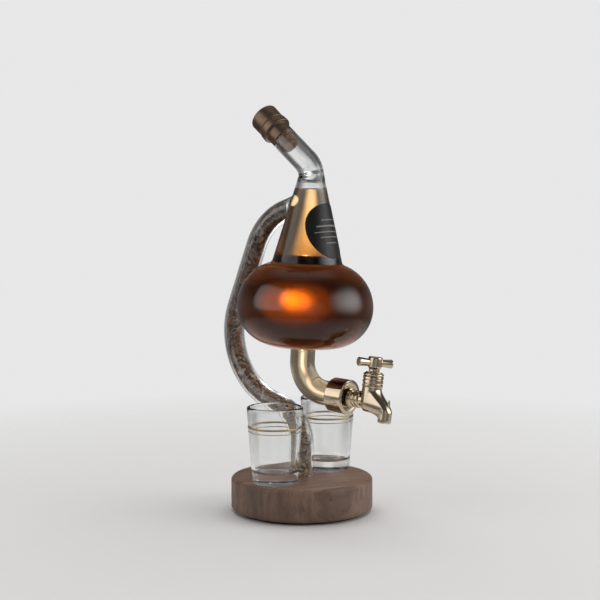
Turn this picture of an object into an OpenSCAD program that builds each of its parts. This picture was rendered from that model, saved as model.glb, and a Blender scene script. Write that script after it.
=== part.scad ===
// Glass decanter shaped like a pot still, carried by a bent glass arm on a turned wooden base,
// with a screw-down tap, a cork stopper and two shot glasses that stand on the base.
// Millimetres. Z is up, +X points the way the tap faces, the origin is the middle of the underside.

/* [Base] */

// Diameter of the turned wooden base
base_d = 108.6; // [100:0.2:130]
// Thickness of the wooden base
base_h = 25; // [21:0.5:40]
// Rounding of the top and bottom edges of the base
base_round = 3; // [1:0.5:5]
// Thickness of the felt pad under the base
pad_h = 1.5; // [1:0.1:3]
// How far the felt pad stays inside the edge of the base
pad_inset = 5; // [5:0.5:12]
// Depth of the socket that holds the foot of the arm
socket_depth = 16; // [10:0.5:18]

/* [Arm] */

// Outer diameter of the glass arm
arm_d = 16.2; // [13:0.1:18]
// Wall of the glass arm
arm_wall = 1.8; // [1.2:0.1:2.6]
// Place of the arm on the base, forward of the middle
arm_x = 1.5; // [-4:0.5:6]
// Straight rise of the arm from the base to its first bend
arm_rise = 23.5; // [18:0.5:30]
// Radius of the first bend, to the middle of the tube
first_bend_r = 30; // [26:0.5:38]
// Angle of the first bend, away from the tap
first_bend = 73; // [66:0.5:78]
// Straight length between the first and the second bend
arm_link = 10; // [4:0.5:20]
// Radius of the second bend, to the middle of the tube
second_bend_r = 55; // [49:0.5:62]
// Angle of the second bend, back towards the tap
second_bend = 95; // [90:0.5:98]
// Straight length between the second and the third bend
arm_back = 51.5; // [46:0.5:62]
// Radius of the third bend, to the middle of the tube
third_bend_r = 47.5; // [40:0.5:54]
// Angle of the third bend, towards the tapered neck
third_bend = 50; // [44:0.5:56]
// Straight length from the third bend to the tapered neck
arm_reach = 7.5; // [6.5:0.5:14]
// Length of the cork bung in the foot of the arm
bung_len = 9; // [6:0.5:12]

/* [Glass vessel] */

// Outer diameter of the bulb at its widest line
bulb_d = 104; // [96:0.5:116]
// Height of the bulb from its flat bottom to the crown of its curve
bulb_h = 64.2; // [60:0.2:72]
// Depth of the bulb below its widest line
bulb_low = 30; // [27:0.5:34]
// Height of the top of the tapered neck above the widest line
cone_top_z = 96; // [92:0.5:104]
// Outer diameter of the tapered neck at its top
cone_top_d = 20.8; // [20:0.1:24]
// Angle between the side of the tapered neck and the axis
cone_angle = 14.7; // [11:0.1:17]
// Radius of the hollow between the tapered neck and the bulb
shoulder_r = 4; // [2:0.5:8]
// Wall of the blown glass
glass_wall = 2.2; // [1.6:0.1:2.8]
// Lean of the vessel towards the tap
lean = 3.5; // [0:0.5:6]
// Height of the joint with the arm above the widest line
arm_joint_z = 74.4; // [66:0.2:77]

/* [Swan neck] */

// Outer diameter of the bent neck tube
neck_d = 19.2; // [17:0.1:21]
// Height of the flare at the foot of the bent neck tube
flare_h = 3; // [2:0.5:6]
// Straight length at the foot of the neck, before its bend
neck_rise = 1; // [0.5:0.5:6]
// Radius of the bend of the neck, to the middle of the tube
neck_bend_r = 16; // [14:0.5:24]
// Angle that the neck bends away from the tap
neck_bend = 53; // [30:0.5:65]
// Straight length of the neck after its bend
neck_run = 26.8; // [20:0.2:34]

/* [Stopper] */

// Diameter of the cap at its end
cap_d = 22.6; // [21:0.2:26]
// Diameter of the cap at its foot
cap_foot_d = 23.6; // [21:0.2:26]
// Length of the cap
cap_len = 19; // [16:0.5:26]
// Place of the ring groove, from the foot of the cap
groove_at = 6.6; // [5:0.2:9]
// Diameter of the waist between the cap and the mouth of the neck
waist_d = 19; // [16:0.2:19]
// Length of the waist
waist_len = 8.8; // [4:0.2:12]
// Length of the cork inside the neck
cork_len = 9; // [8:0.5:15]
// Diameter of the cork's tenon in the cap
tenon_d = 9; // [6:0.5:11]

/* [Outlet] */

// Outer diameter of the outlet tube
outlet_d = 19; // [17:0.1:20]
// Straight drop of the outlet tube before its bend
outlet_drop = 11.4; // [8:0.1:16]
// Radius of the bend of the outlet, to the middle of the tube
outlet_bend_r = 22; // [18:0.5:28]
// Straight run of the outlet tube after its bend
outlet_run = 17.5; // [15:0.5:26]

/* [Collar] */

// Diameter of the metal collar on the outlet
collar_d = 26.3; // [24:0.1:30]
// Length of the outlet tube that the collar covers
collar_grip = 8.2; // [6:0.2:12]
// Thickness of the front wall of the collar
collar_end = 3; // [2:0.2:5]
// Rounding of the rims of the collar
collar_round = 0.8; // [0.4:0.1:1.5]
// Thickness of the sealing ring between the tube and the collar
seal_h = 3.6; // [3.4:0.1:5]
// Width across the corners of the nut behind the collar's front wall
nut_d = 13.2; // [12.4:0.1:13.6]
// Thickness of that nut
nut_h = 3; // [2:0.2:3.2]

/* [Tap body] */

// Turn of the tap about the outlet's axis
tap_twist = 6.5; // [0:0.5:12]
// Diameter of the threaded tail behind the tap
tail_d = 10; // [9:0.1:10.4]
// Thickness of the gasket in front of the collar
gasket_h = 1; // [0.6:0.1:2]
// Length of the inlet, from the gasket to the spindle's axis
inlet_len = 17.8; // [17:0.2:24]
// Diameter of the inlet flange
flange_d = 14; // [12.6:0.2:16]
// Bore of the inlet
inlet_bore_d = 5.2; // [4:0.1:5.6]
// Diameter of the upright barrel
barrel_d = 14.6; // [14.2:0.1:17]
// Depth of the barrel's round bottom below the outlet's axis
barrel_low = 7.1; // [6.4:0.1:9]
// Height of the barrel's rim above the outlet's axis
barrel_top = 18.3; // [17.5:0.1:24]
// Outer diameter of the spout
spout_d = 10; // [8.5:0.1:10.6]
// Bore of the spout
spout_bore_d = 4.8; // [4:0.1:5.4]
// Radius of the spout's bend, to the middle of its bore
spout_bend_r = 9.2; // [8.6:0.1:13]
// Straight length at the end of the spout
spout_end = 4.8; // [3:0.2:10]
// Height of the small spur on the spout's shoulder
spur_h = 6.2; // [5:0.2:7.4]

/* [Tap valve] */

// Diameter of the valve chamber
chamber_d = 10; // [9.6:0.1:10.6]
// Diameter of the hole through the valve seat
seat_d = 4.4; // [3:0.1:4.6]
// Diameter of the rubber washer
washer_d = 6.8; // [6.2:0.1:7.2]
// Thickness of the rubber washer
washer_h = 0.9; // [0.6:0.1:1.2]
// Thickness of the plate that carries the washer
plate_h = 1.6; // [1.2:0.1:2]
// Diameter of the pin that guides the plate in the spindle
guide_d = 2.4; // [2:0.1:2.6]
// Diameter of the spindle's stem
stem_d = 4.4; // [4.2:0.1:5]
// Diameter of the spindle's screw
screw_d = 6; // [5.6:0.1:6.2]
// Length of the spindle's screw
screw_len = 4.6; // [3:0.2:5]
// Lift of the valve at the end of its travel
valve_lift = 1.875; // [1:0.125:2.5]
// Diameter of the bonnet's flange
bonnet_d = 15.4; // [14.4:0.2:18]
// Thickness of the bonnet's flange
bonnet_h = 3.2; // [2.6:0.1:5]
// Thickness of the fibre gasket under the bonnet
fibre_h = 0.5; // [0.4:0.1:1]

/* [Tap handle] */

// Diameter of the handle's hub
hub_d = 10.8; // [10:0.1:13]
// Height of the hub
hub_h = 11; // [10:0.2:15]
// Diameter of the hub's foot
hub_foot_d = 8; // [7:0.1:8.8]
// Length of the cross bar
bar_len = 28; // [24:0.5:36]
// Diameter of the cross bar at its ends
bar_d = 6.8; // [5.8:0.1:7.4]
// Diameter of the cross bar at the hub
bar_root_d = 5.4; // [4.6:0.1:5.8]
// Angle of the cross bar when the tap is shut
bar_angle = 62; // [0:1:180]

/* [Label] */

// Diameter of the round label on the tapered neck
label_d = 42; // [24:0.5:44]
// Height of the label's middle above the widest line
label_z = 59; // [57:0.5:63]
// Thickness of the label
label_h = 0.25; // [0.15:0.05:0.5]

/* [Shot glasses] */

// Height of a glass
glass_h = 57.4; // [50:0.2:66]
// Diameter of a glass at its rim
glass_rim_d = 42.4; // [38:0.2:44]
// Diameter of a glass at its foot
glass_foot_d = 34.6; // [30:0.2:36]
// Side wall of a glass
glass_side = 2.7; // [1.8:0.1:3.2]
// Thickness of the floor of a glass
glass_floor = 8; // [5:0.2:12]
// Distance of a glass from the middle plane
glass_y = 32.7; // [32:0.1:34]
// Place of the glasses on the base, forward of the middle
glass_x = 0; // [-4:0.5:4]
// Distance of the wide gilt band from the rim
band_down = 15.2; // [10:0.2:22]
// Width of the wide gilt band
band_w = 1.4; // [0.8:0.1:2]
// Width of the narrow gilt band
fine_band_w = 0.6; // [0.4:0.1:1]
// Distance between the middles of the two bands
band_pitch = 3.2; // [2.4:0.1:5]
// Thickness of the gilding
band_h = 0.15; // [0.1:0.05:0.3]

/* [Fits] */

// Gap round parts that slide or turn in a hole
running_gap = 0.08; // [0.05:0.01:0.1]
// Gap round parts that are glued, sealed or screwed in place
joint_gap = 0.05; // [0.02:0.01:0.1]
// Gap between moving parts that only pass one another
pass_gap = 0.4; // [0.3:0.05:0.6]
// Extra thickness of a tube at its bends
bend_step = 0.05; // [0.03:0.01:0.08]
// Length of a straight tube inside the bend next to it
bend_lap = 0.4; // [0.2:0.1:0.6]

/* [Hidden] */

$fn = 96;

// Base and arm
base_top = pad_h + base_h;
arm_foot_z = base_top - socket_depth;
arm_r = arm_d / 2;
arm_bore_r = arm_r - arm_wall;
// A tube's path: straight length, bend radius, bend angle (positive turns towards +X)
arm_path = [
    [socket_depth + arm_rise, first_bend_r, -first_bend],
    [arm_link, second_bend_r, second_bend],
    [arm_back, third_bend_r, third_bend],
    [arm_reach, 0, 0]
];
// The tube runs on past the joint, to be trimmed to the tapered neck
arm_trim = arm_d;
arm_cut_path = [arm_path[0], arm_path[1], arm_path[2], [arm_reach + arm_trim, 0, 0]];
// The grain starts above the bung and ends short of the joint
grain_gap = 0.3;
grain_short = 5;
grain_path = [
    [socket_depth + arm_rise - bung_len - grain_gap, first_bend_r, -first_bend],
    arm_path[1], arm_path[2], [arm_reach - grain_short, 0, 0]
];
arm_tip = [arm_x, arm_foot_z] + path_end(arm_path, len(arm_path));

// Vessel: its middle is where the arm's tip meets the tapered neck
bulb_rho = bulb_h - bulb_low;
bulb_core = bulb_d / 2 - bulb_rho;
cone_top_r = cone_top_d / 2;
cone_out = [cos(cone_angle), sin(cone_angle)];
cone_up = [-sin(cone_angle), cos(cone_angle)];
cone_reach = cone_out * [cone_top_r, cone_top_z];
core_at = [bulb_core, 0];
shoulder_away = cone_reach + shoulder_r - cone_out * core_at;
shoulder_along = sqrt(pow(bulb_rho + shoulder_r, 2) - pow(shoulder_away, 2));
shoulder_c = (cone_reach + shoulder_r) * cone_out + (cone_up * core_at + shoulder_along) * cone_up;
shoulder_angle = atan2(shoulder_c[1], shoulder_c[0] - bulb_core);
joint_at = [-cone_r(arm_joint_z), arm_joint_z];
vessel_x = arm_tip[0] - joint_at[0] * cos(lean) - joint_at[1] * sin(lean);
vessel_z = arm_tip[1] + joint_at[0] * sin(lean) - joint_at[1] * cos(lean);
outlet_r = outlet_d / 2;
outlet_bore_r = outlet_r - glass_wall;

// Swan neck and stopper
neck_r = neck_d / 2;
neck_bore_r = neck_r - glass_wall;
neck_path = [[neck_rise, neck_bend_r, -neck_bend], [neck_run, 0, 0]];
tenon_len = waist_len + cap_len / 4;

// Outlet and collar, measured along the outlet's level part
pipe_drop = bulb_low + outlet_drop + outlet_bend_r;
outlet_path = [[outlet_drop, outlet_bend_r, 90], [outlet_run, 0, 0]];
outlet_tip = outlet_bend_r + outlet_run;
collar_back = outlet_tip - collar_grip;
collar_wall = outlet_tip + seal_h;
collar_face = collar_wall + collar_end;
tail_r = tail_d / 2;
nut_bore_r = tail_r + joint_gap;
seal_bore_r = nut_d / 2 + 0.6;
tap_x = collar_face + gasket_h + inlet_len;
tail_len = inlet_len + gasket_h + collar_end + nut_h + 0.8;

// Tap, heights measured from the outlet's axis
barrel_r = barrel_d / 2;
chamber_r = chamber_d / 2;
inlet_bore_r = inlet_bore_d / 2;
spout_r = spout_d / 2;
spout_bore_r = spout_bore_d / 2;
seat_r = seat_d / 2;
seat_rim_r = seat_r + 1;
floor_z = inlet_bore_r + 1;
seat_z = floor_z + 0.6;
port_r = 1.5;
port_x = chamber_r;
inlet_stop = seat_r;
spout_start = port_x - 1;
spout_path = [[1, spout_bend_r, 90], [spout_end, 0, 0]];
spur_x = spout_start + 1 + spout_bend_r + 2.2;
spur_z = -3;
// Shoulder of the casting, which slopes from the barrel to the spout
throat_top = [0.3, barrel_top - 10.3];
throat_low = [spout_start + 1 + 0.35 * spout_bend_r, -0.25 * spout_bend_r];
throat_way = throat_low - throat_top;
washer_top = seat_z + washer_h;
plate_top = washer_top + plate_h;
plate_r = washer_d / 2 + 0.3;
guide_top = plate_top + 4.5;
stem_r = stem_d / 2;
screw_r = screw_d / 2;
spindle_low = plate_top + 0.3;
screw_low = spindle_low + 2;
screw_top = screw_low + screw_len;
skirt_low = plate_top + valve_lift + 0.9;
bonnet_low = barrel_top + fibre_h;
bonnet_top = bonnet_low + bonnet_h;
bonnet_r = bonnet_d / 2;
stop_z = screw_top + valve_lift + pass_gap;
packing_low = stop_z + 1;
packing_r = screw_r + 0.7;
gland_low = (packing_low + bonnet_top) / 2;
hub_low = bonnet_top + pass_gap;
hub_top = hub_low + hub_h;
hub_r = hub_d / 2;
hub_foot_r = hub_foot_d / 2;
bar_z = hub_top - 4.7;
stem_top = hub_top - 3;
bar_r = bar_d / 2;
bar_root_r = bar_root_d / 2;
peg_r = bar_root_r - 0.3;
peg_start = stem_r + 0.8;

// Label and glasses
label_r = label_d / 2;
rim_r = glass_rim_d / 2;
foot_r = glass_foot_d / 2;
foot_round = 1;
foot_edge = 10;
lip_r = glass_side / 2;
// Ends of the straight side of a glass
side_low = [foot_r - foot_round * (1 - cos(foot_edge)), foot_round * (1 - sin(foot_edge))];
side_high = [rim_r, glass_h - lip_r];
well_round = 3;
band_z = glass_h - band_down;

// Heading of a path after n of its steps, from upright towards +X
function heading(path, n) = n == 0 ? 0 : heading(path, n - 1) + path[n - 1][2];

// Travel of one step: its straight length, then its bend
function step_at(step, h) = [
    step[0] * sin(h) + sign(step[2]) * step[1] * (cos(h) - cos(h + step[2])),
    step[0] * cos(h) + sign(step[2]) * step[1] * (sin(h + step[2]) - sin(h))
];

// Point where a path is after n of its steps
function path_end(path, n) =
    n == 0 ? [0, 0] : path_end(path, n - 1) + step_at(path[n - 1], heading(path, n - 1));

// Points on an arc, from point number first on
function arc(c, r, a0, a1, n, first = 0) = [
    for (i = [first:n]) c + r * [cos(a0 + (a1 - a0) * i / n), sin(a0 + (a1 - a0) * i / n)]
];

function reversed(list) = [for (i = [len(list) - 1:-1:0]) list[i]];

// Outer radius of the tapered neck at a height
function cone_r(z) = cone_top_d / 2 + (cone_top_z - z) * tan(cone_angle);

// Side of the bulb from its bottom hole to the shoulder, moved inwards by t
function bulb_side(t) = concat(
    [[outlet_bore_r, t - bulb_low]],
    arc([bulb_d / 2 - bulb_low, 0], bulb_low - t, -90, 0, 14),
    arc(core_at, bulb_rho - t, 0, shoulder_angle, 12, 1)
);

// Side of the tapered neck from the shoulder to its top, moved inwards by t
function taper_side(t) = concat(
    arc(shoulder_c, shoulder_r + t, 180 + shoulder_angle, 180 + cone_angle, 6),
    [[cone_top_r - t / cos(cone_angle), cone_top_z]]
);

// Outer radius of a glass at a height
function glass_r(z) =
    side_low.x + (side_high.x - side_low.x) * (z - side_low.y) / (side_high.y - side_low.y);

module ring(r, bore) {
    difference() {
        circle(r);
        if (bore > 0) circle(bore);
    }
}

// Bent piece of tube, from the origin upwards, turning towards +X for a positive angle
module bend(bend_r, angle, r, bore) {
    mirror([angle > 0 ? 1 : 0, 0, 0])
        translate([-bend_r, 0, 0])
            rotate([90, 0, 0])
                rotate_extrude(angle = abs(angle))
                    translate([bend_r, 0])
                        ring(r, bore);
}

// Tube along a path, or a rod when it has no bore. The straights reach a little way into the bends,
// which are a hair thicker, so that no two pieces share a face.
module tube_run(path, r, bore = 0) {
    for (i = [0:len(path) - 1]) {
        start = path_end(path, i);
        before = i > 0 ? bend_lap : 0;
        after = path[i][2] != 0 ? bend_lap : 0;
        translate([start[0], 0, start[1]])
            rotate([0, heading(path, i), 0]) {
                translate([0, 0, -before])
                    linear_extrude(before + path[i][0] + after)
                        ring(r, bore);
                if (path[i][2] != 0)
                    translate([0, 0, path[i][0]])
                        bend(path[i][1], path[i][2], r + bend_step, bore > 0 ? bore - bend_step : 0);
            }
    }
}

module at_path_end(path) {
    tip = path_end(path, len(path));
    translate([tip[0], 0, tip[1]])
        rotate([0, heading(path, len(path)), 0])
            children();
}

module at_vessel() {
    translate([vessel_x, 0, vessel_z])
        rotate([0, lean, 0])
            children();
}

// Along the outlet's level part: local Z runs towards the tap
module at_outlet() {
    at_vessel()
        translate([0, 0, -pipe_drop])
            rotate([0, 90, 0])
                children();
}

// In the tap: X runs with the outlet, Z up the spindle
module at_tap() {
    at_vessel()
        translate([tap_x, 0, -pipe_drop])
            rotate([-tap_twist, 0, 0])
                children();
}

module at_mouth() {
    at_vessel()
        translate([0, 0, cone_top_z])
            at_path_end(neck_path)
                children();
}

// Plain ring between two heights
module washer(r, bore, z0, z1) {
    translate([0, 0, z0])
        linear_extrude(z1 - z0)
            ring(r, bore);
}

// The tapered neck near the joint with the arm, without its hollow, moved outwards by gap
module neck_block(gap) {
    low = arm_joint_z - arm_d;
    away = gap / cos(cone_angle);
    at_vessel()
        translate([0, 0, low])
            cylinder(r1 = cone_r(low) + away, r2 = cone_top_r + away, h = cone_top_z - low);
}

module base_block() {
    r = base_d / 2;
    color("#6b5a4d")
        difference() {
            rotate_extrude()
                polygon(concat(
                    [[0, pad_h]],
                    arc([r - base_round, pad_h + base_round], base_round, -90, 0, 8),
                    arc([r - base_round, base_top - base_round], base_round, 0, 90, 8),
                    [[0, base_top]]
                ));
            translate([arm_x, 0, arm_foot_z])
                cylinder(r = arm_r + joint_gap, h = socket_depth + 1);
        }
}

module base_pad() {
    color("#1c1a19")
        cylinder(r = base_d / 2 - pad_inset, h = pad_h);
}

module support_arm() {
    color("#c9d3d6", 0.5)
        difference() {
            translate([arm_x, 0, arm_foot_z])
                tube_run(arm_cut_path, arm_r, arm_bore_r);
            neck_block(joint_gap);
        }
}

module arm_bung() {
    color("#a77b4f")
        translate([arm_x, 0, arm_foot_z])
            cylinder(r = arm_bore_r - joint_gap, h = bung_len);
}

module grain_fill() {
    color("#8a6f48")
        translate([arm_x, 0, arm_foot_z + bung_len + grain_gap])
            tube_run(grain_path, arm_bore_r - grain_gap);
}

module decanter_bowl() {
    color("#d0d8da", 0.45)
        at_vessel()
            rotate_extrude()
                polygon(concat(bulb_side(0), reversed(bulb_side(glass_wall))));
}

module tapered_neck() {
    color("#d0d8da", 0.45)
        at_vessel()
            rotate_extrude()
                polygon(concat(taper_side(0), reversed(taper_side(glass_wall))));
}

module swan_neck() {
    color("#d0d8da", 0.45)
        at_vessel()
            translate([0, 0, cone_top_z])
                difference() {
                    union() {
                        tube_run(neck_path, neck_r);
                        cylinder(r1 = cone_top_r, r2 = neck_r, h = flare_h);
                    }
                    tube_run(neck_path, neck_bore_r);
                }
}

module outlet_elbow() {
    color("#d0d8da", 0.45)
        at_vessel()
            translate([0, 0, -bulb_low])
                rotate([180, 0, 0])
                    tube_run(outlet_path, outlet_r, outlet_bore_r);
}

// A flat disc of paper wrapped round the tapered neck
module front_label() {
    low = label_z - label_r;
    high = label_z + label_r;
    inner = joint_gap / cos(cone_angle);
    outer = (joint_gap + label_h) / cos(cone_angle);
    disc = [
        for (i = [0:47])
            let (
                z = label_z + label_r * sin(i * 7.5) * cos(cone_angle),
                r = cone_r(z) + outer
            )
            [r * sin(label_r * cos(i * 7.5) / r * 180 / PI), z]
    ];
    color("#121212")
        at_vessel()
            intersection() {
                rotate_extrude()
                    polygon([
                        [cone_r(low) + inner, low],
                        [cone_r(low) + outer, low],
                        [cone_r(high) + outer, high],
                        [cone_r(high) + inner, high]
                    ]);
                rotate([90, 0, 90])
                    linear_extrude(bulb_d)
                        polygon(disc);
            }
}

module tap_collar() {
    r = collar_d / 2;
    color("#c8a973")
        at_outlet()
            rotate_extrude()
                polygon(concat(
                    [[outlet_r + joint_gap, collar_back]],
                    arc([r - collar_round, collar_back + collar_round], collar_round, -90, 0, 4),
                    arc([r - collar_round, collar_face - collar_round], collar_round, 0, 90, 4),
                    [
                        [tail_r + joint_gap, collar_face],
                        [tail_r + joint_gap, collar_wall],
                        [outlet_r + joint_gap, collar_wall]
                    ]
                ));
}

module collar_seal() {
    color("#e6e2da")
        at_outlet()
            washer(outlet_r, seal_bore_r, outlet_tip, collar_wall);
}

module tail_nut() {
    color("#b8995f")
        at_outlet()
            difference() {
                translate([0, 0, collar_wall - nut_h])
                    cylinder(d = nut_d, h = nut_h, $fn = 6);
                translate([0, 0, collar_wall - nut_h - 1])
                    cylinder(r = nut_bore_r, h = nut_h + 2);
            }
}

module tap_gasket() {
    color("#1e1e1e")
        at_outlet()
            washer((flange_d / 2 + tail_r) / 2, tail_r + joint_gap, collar_face, collar_face + gasket_h);
}

// Inlet with its flange and two beads, turned about the outlet's axis
module tap_inlet() {
    bead = 1.5;
    r = flange_d / 2 - bead - 0.4;
    rotate([0, -90, 0])
        rotate_extrude()
            polygon(concat(
                [[0, 3], [r, 3], [r, inlet_len - 9.9]],
                arc([r, inlet_len - 8.4], bead, -90, 90, 8),
                arc([r, inlet_len - 5.2], bead, -90, 90, 8),
                [
                    [r, inlet_len - 2.6],
                    [flange_d / 2, inlet_len - 2.2],
                    [flange_d / 2, inlet_len],
                    [tail_r, inlet_len],
                    [tail_r, tail_len],
                    [0, tail_len]
                ]
            ));
}

// Upright barrel with a domed bottom and two grooves below its rim
module tap_barrel() {
    dome = barrel_low - 0.5;
    r = barrel_r;
    neck = barrel_top - 7.6;
    rotate_extrude()
        polygon(concat(
            [for (i = [0:9]) [r * sin(i * 10), -0.5 - dome * cos(i * 10)]],
            [
                [r, neck],
                [r + 0.4, neck + 0.5],
                [r + 0.4, barrel_top - 5.3],
                [r - 0.1, barrel_top - 4.9],
                [r + 0.4, barrel_top - 4.5],
                [r + 0.4, barrel_top - 2.3],
                [r - 0.1, barrel_top - 1.9],
                [r + 0.4, barrel_top - 1.5],
                [r + 0.4, barrel_top],
                [0, barrel_top]
            ]
        ));
}

module tap_body() {
    color("#c2a063")
        at_tap()
            difference() {
                union() {
                    tap_barrel();
                    tap_inlet();
                    translate([spout_start, 0, 0])
                        rotate([0, 90, 0])
                            tube_run(spout_path, spout_r);
                    translate([throat_top[0], 0, throat_top[1]])
                        rotate([0, atan2(throat_way[0], throat_way[1]), 0])
                            cylinder(r1 = barrel_r - 1.1, r2 = spout_r - 0.2, h = norm(throat_way));
                    translate([spur_x, 0, spur_z])
                        cylinder(r1 = 1, r2 = 0.6, h = spur_h);
                }
                // Valve chamber, with the seat's rim left standing on its floor
                rotate_extrude()
                    polygon([
                        [0, seat_z],
                        [seat_rim_r, seat_z],
                        [seat_rim_r, floor_z],
                        [chamber_r, floor_z],
                        [chamber_r, barrel_top + 1],
                        [0, barrel_top + 1]
                    ]);
                cylinder(r = seat_r, h = seat_z + 0.5);
                translate([-tail_len - 1, 0, 0])
                    rotate([0, 90, 0])
                        cylinder(r = inlet_bore_r, h = tail_len + 1 + inlet_stop);
                translate([port_x, 0, 0])
                    cylinder(r = port_r, h = floor_z + 0.5);
                translate([spout_start, 0, 0])
                    rotate([0, 90, 0])
                        tube_run([spout_path[0], [spout_end + 1, 0, 0]], spout_bore_r);
            }
}

module bonnet_gasket() {
    color("#3a2f27")
        at_tap()
            washer(barrel_r + 0.2, chamber_r + joint_gap, barrel_top, bonnet_low);
}

module tap_bonnet() {
    color("#c2a063")
        at_tap()
            rotate_extrude()
                polygon(concat(
                    [
                        [screw_r + running_gap, skirt_low],
                        [chamber_r - joint_gap, skirt_low],
                        [chamber_r - joint_gap, bonnet_low],
                        [bonnet_r - 0.5, bonnet_low]
                    ],
                    arc([bonnet_r - 1, bonnet_low + 1.2], 1, -60, 60, 6),
                    [
                        [bonnet_r - 1.6, bonnet_top - 0.4],
                        [bonnet_r - 2.6, bonnet_top],
                        [packing_r, bonnet_top],
                        [packing_r, packing_low],
                        [stem_r + running_gap, packing_low],
                        [stem_r + running_gap, stop_z],
                        [screw_r + running_gap, stop_z]
                    ]
                ));
}

module gland_packing() {
    color("#2b2b2b")
        at_tap()
            washer(packing_r - joint_gap, stem_r + running_gap, packing_low, gland_low);
}

module gland_nut() {
    color("#b8995f")
        at_tap()
            washer(packing_r - joint_gap, stem_r + running_gap, gland_low, bonnet_top);
}

module valve_jumper() {
    color("#b8995f")
        at_tap()
            rotate_extrude()
                polygon([
                    [0, washer_top],
                    [plate_r, washer_top],
                    [plate_r, plate_top],
                    [guide_d / 2, plate_top],
                    [guide_d / 2, guide_top],
                    [0, guide_top]
                ]);
}

module valve_washer() {
    color("#1e1e1e")
        at_tap()
            translate([0, 0, seat_z])
                cylinder(d = washer_d, h = washer_h);
}

module tap_spindle() {
    guide_r = guide_d / 2 + running_gap;
    color("#b8995f")
        at_tap()
            rotate_extrude()
                polygon([
                    [guide_r, spindle_low],
                    [stem_r, spindle_low],
                    [stem_r, screw_low],
                    [screw_r, screw_low],
                    [screw_r, screw_top],
                    [stem_r, screw_top],
                    [stem_r, stem_top],
                    [0, stem_top],
                    [0, guide_top + 0.4],
                    [guide_r, guide_top + 0.4]
                ]);
}

module handle_hub() {
    hole = stem_r + joint_gap;
    color("#c2a063")
        at_tap()
            difference() {
                rotate_extrude()
                    polygon([
                        [hole, hub_low],
                        [hub_foot_r, hub_low],
                        [hub_foot_r, hub_low + 1.4],
                        [hub_r - 0.2, hub_low + 3.2],
                        [hub_r, hub_low + 3.8],
                        [hub_r, hub_top - 1.6],
                        [hub_r - 0.3, hub_top - 0.9],
                        [hub_r - 1, hub_top - 0.4],
                        [0, hub_top],
                        [0, stem_top + joint_gap],
                        [hole, stem_top + joint_gap]
                    ]);
                for (turn = [0, 180])
                    rotate([0, 0, bar_angle + turn])
                        translate([peg_start, 0, bar_z])
                            rotate([0, 90, 0])
                                cylinder(r = peg_r + joint_gap, h = hub_r);
            }
}

// Two half bars, each with a peg in the hub
module handle_bar() {
    half = bar_len / 2;
    root = hub_r + joint_gap;
    color("#c2a063")
        at_tap()
            for (turn = [0, 180])
                rotate([0, 0, bar_angle + turn])
                    translate([0, 0, bar_z])
                        rotate([0, 90, 0])
                            rotate_extrude()
                                polygon([
                                    [0, peg_start + joint_gap],
                                    [peg_r, peg_start + joint_gap],
                                    [peg_r, root],
                                    [bar_root_r, root],
                                    [bar_r - 0.1, half - 1.2],
                                    [bar_r, half - 0.9],
                                    [bar_r - 0.2, half - 0.3],
                                    [bar_r - 0.8, half],
                                    [0, half]
                                ]);
}

// Turned cap and waist, along the neck's axis from its mouth
module stopper_cap() {
    foot = waist_len;
    top = waist_len + cap_len;
    groove = foot + groove_at;
    groove_r = cap_foot_d / 2 + (cap_d - cap_foot_d) / 2 * groove_at / cap_len;
    end_r = cap_d / 2;
    color("#9a6a45")
        at_mouth()
            rotate_extrude()
                polygon(concat(
                    [
                        [tenon_d / 2 + joint_gap, joint_gap],
                        [waist_d / 2, joint_gap],
                        [waist_d / 2, foot - 0.6],
                        [cap_foot_d / 2 - 0.9, foot],
                        [cap_foot_d / 2, foot + 1],
                        [groove_r, groove - 1],
                        [groove_r - 0.8, groove - 0.3],
                        [groove_r - 0.8, groove + 0.3],
                        [end_r - 0.3, groove + 1]
                    ],
                    arc([end_r - 2, top - 2], 2, 0, 90, 6),
                    [
                        [0, top],
                        [0, tenon_len + joint_gap],
                        [tenon_d / 2 + joint_gap, tenon_len + joint_gap]
                    ]
                ));
}

// Cork in the neck, with a tenon that is glued into the cap
module stopper_cork() {
    r = neck_bore_r - running_gap;
    color("#8d5a36")
        at_mouth()
            rotate_extrude()
                polygon([
                    [0, -cork_len],
                    [r - 0.9, -cork_len],
                    [r, 1 - cork_len],
                    [r, 0],
                    [tenon_d / 2, 0],
                    [tenon_d / 2, tenon_len],
                    [0, tenon_len]
                ]);
}

module shot_glass() {
    well_z = glass_floor + well_round;
    well_r = glass_r(well_z) - glass_side;
    rotate_extrude()
        polygon(concat(
            [[0, 0]],
            arc([foot_r - foot_round, foot_round], foot_round, -90, -foot_edge, 4),
            arc([rim_r - lip_r, side_high.y], lip_r, 0, 180, 8),
            [[well_r, well_z]],
            arc([well_r - well_round, well_z], well_round, 0, -90, 6, 1),
            [[0, glass_floor]]
        ));
}

module gilt_band(mid, width) {
    low = mid - width / 2;
    high = mid + width / 2;
    inner = joint_gap;
    outer = joint_gap + band_h;
    rotate_extrude()
        polygon([
            [glass_r(low) + inner, low],
            [glass_r(low) + outer, low],
            [glass_r(high) + outer, high],
            [glass_r(high) + inner, high]
        ]);
}

module glass_bands() {
    gilt_band(band_z, band_w);
    gilt_band(band_z - band_pitch, fine_band_w);
}

module front_glass() {
    color("#d8dee0", 0.45)
        translate([glass_x, -glass_y, base_top])
            shot_glass();
}

module front_glass_bands() {
    color("#9c8250")
        translate([glass_x, -glass_y, base_top])
            glass_bands();
}

module rear_glass() {
    color("#d8dee0", 0.45)
        translate([glass_x, glass_y, base_top])
            shot_glass();
}

module rear_glass_bands() {
    color("#9c8250")
        translate([glass_x, glass_y, base_top])
            glass_bands();
}

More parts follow.
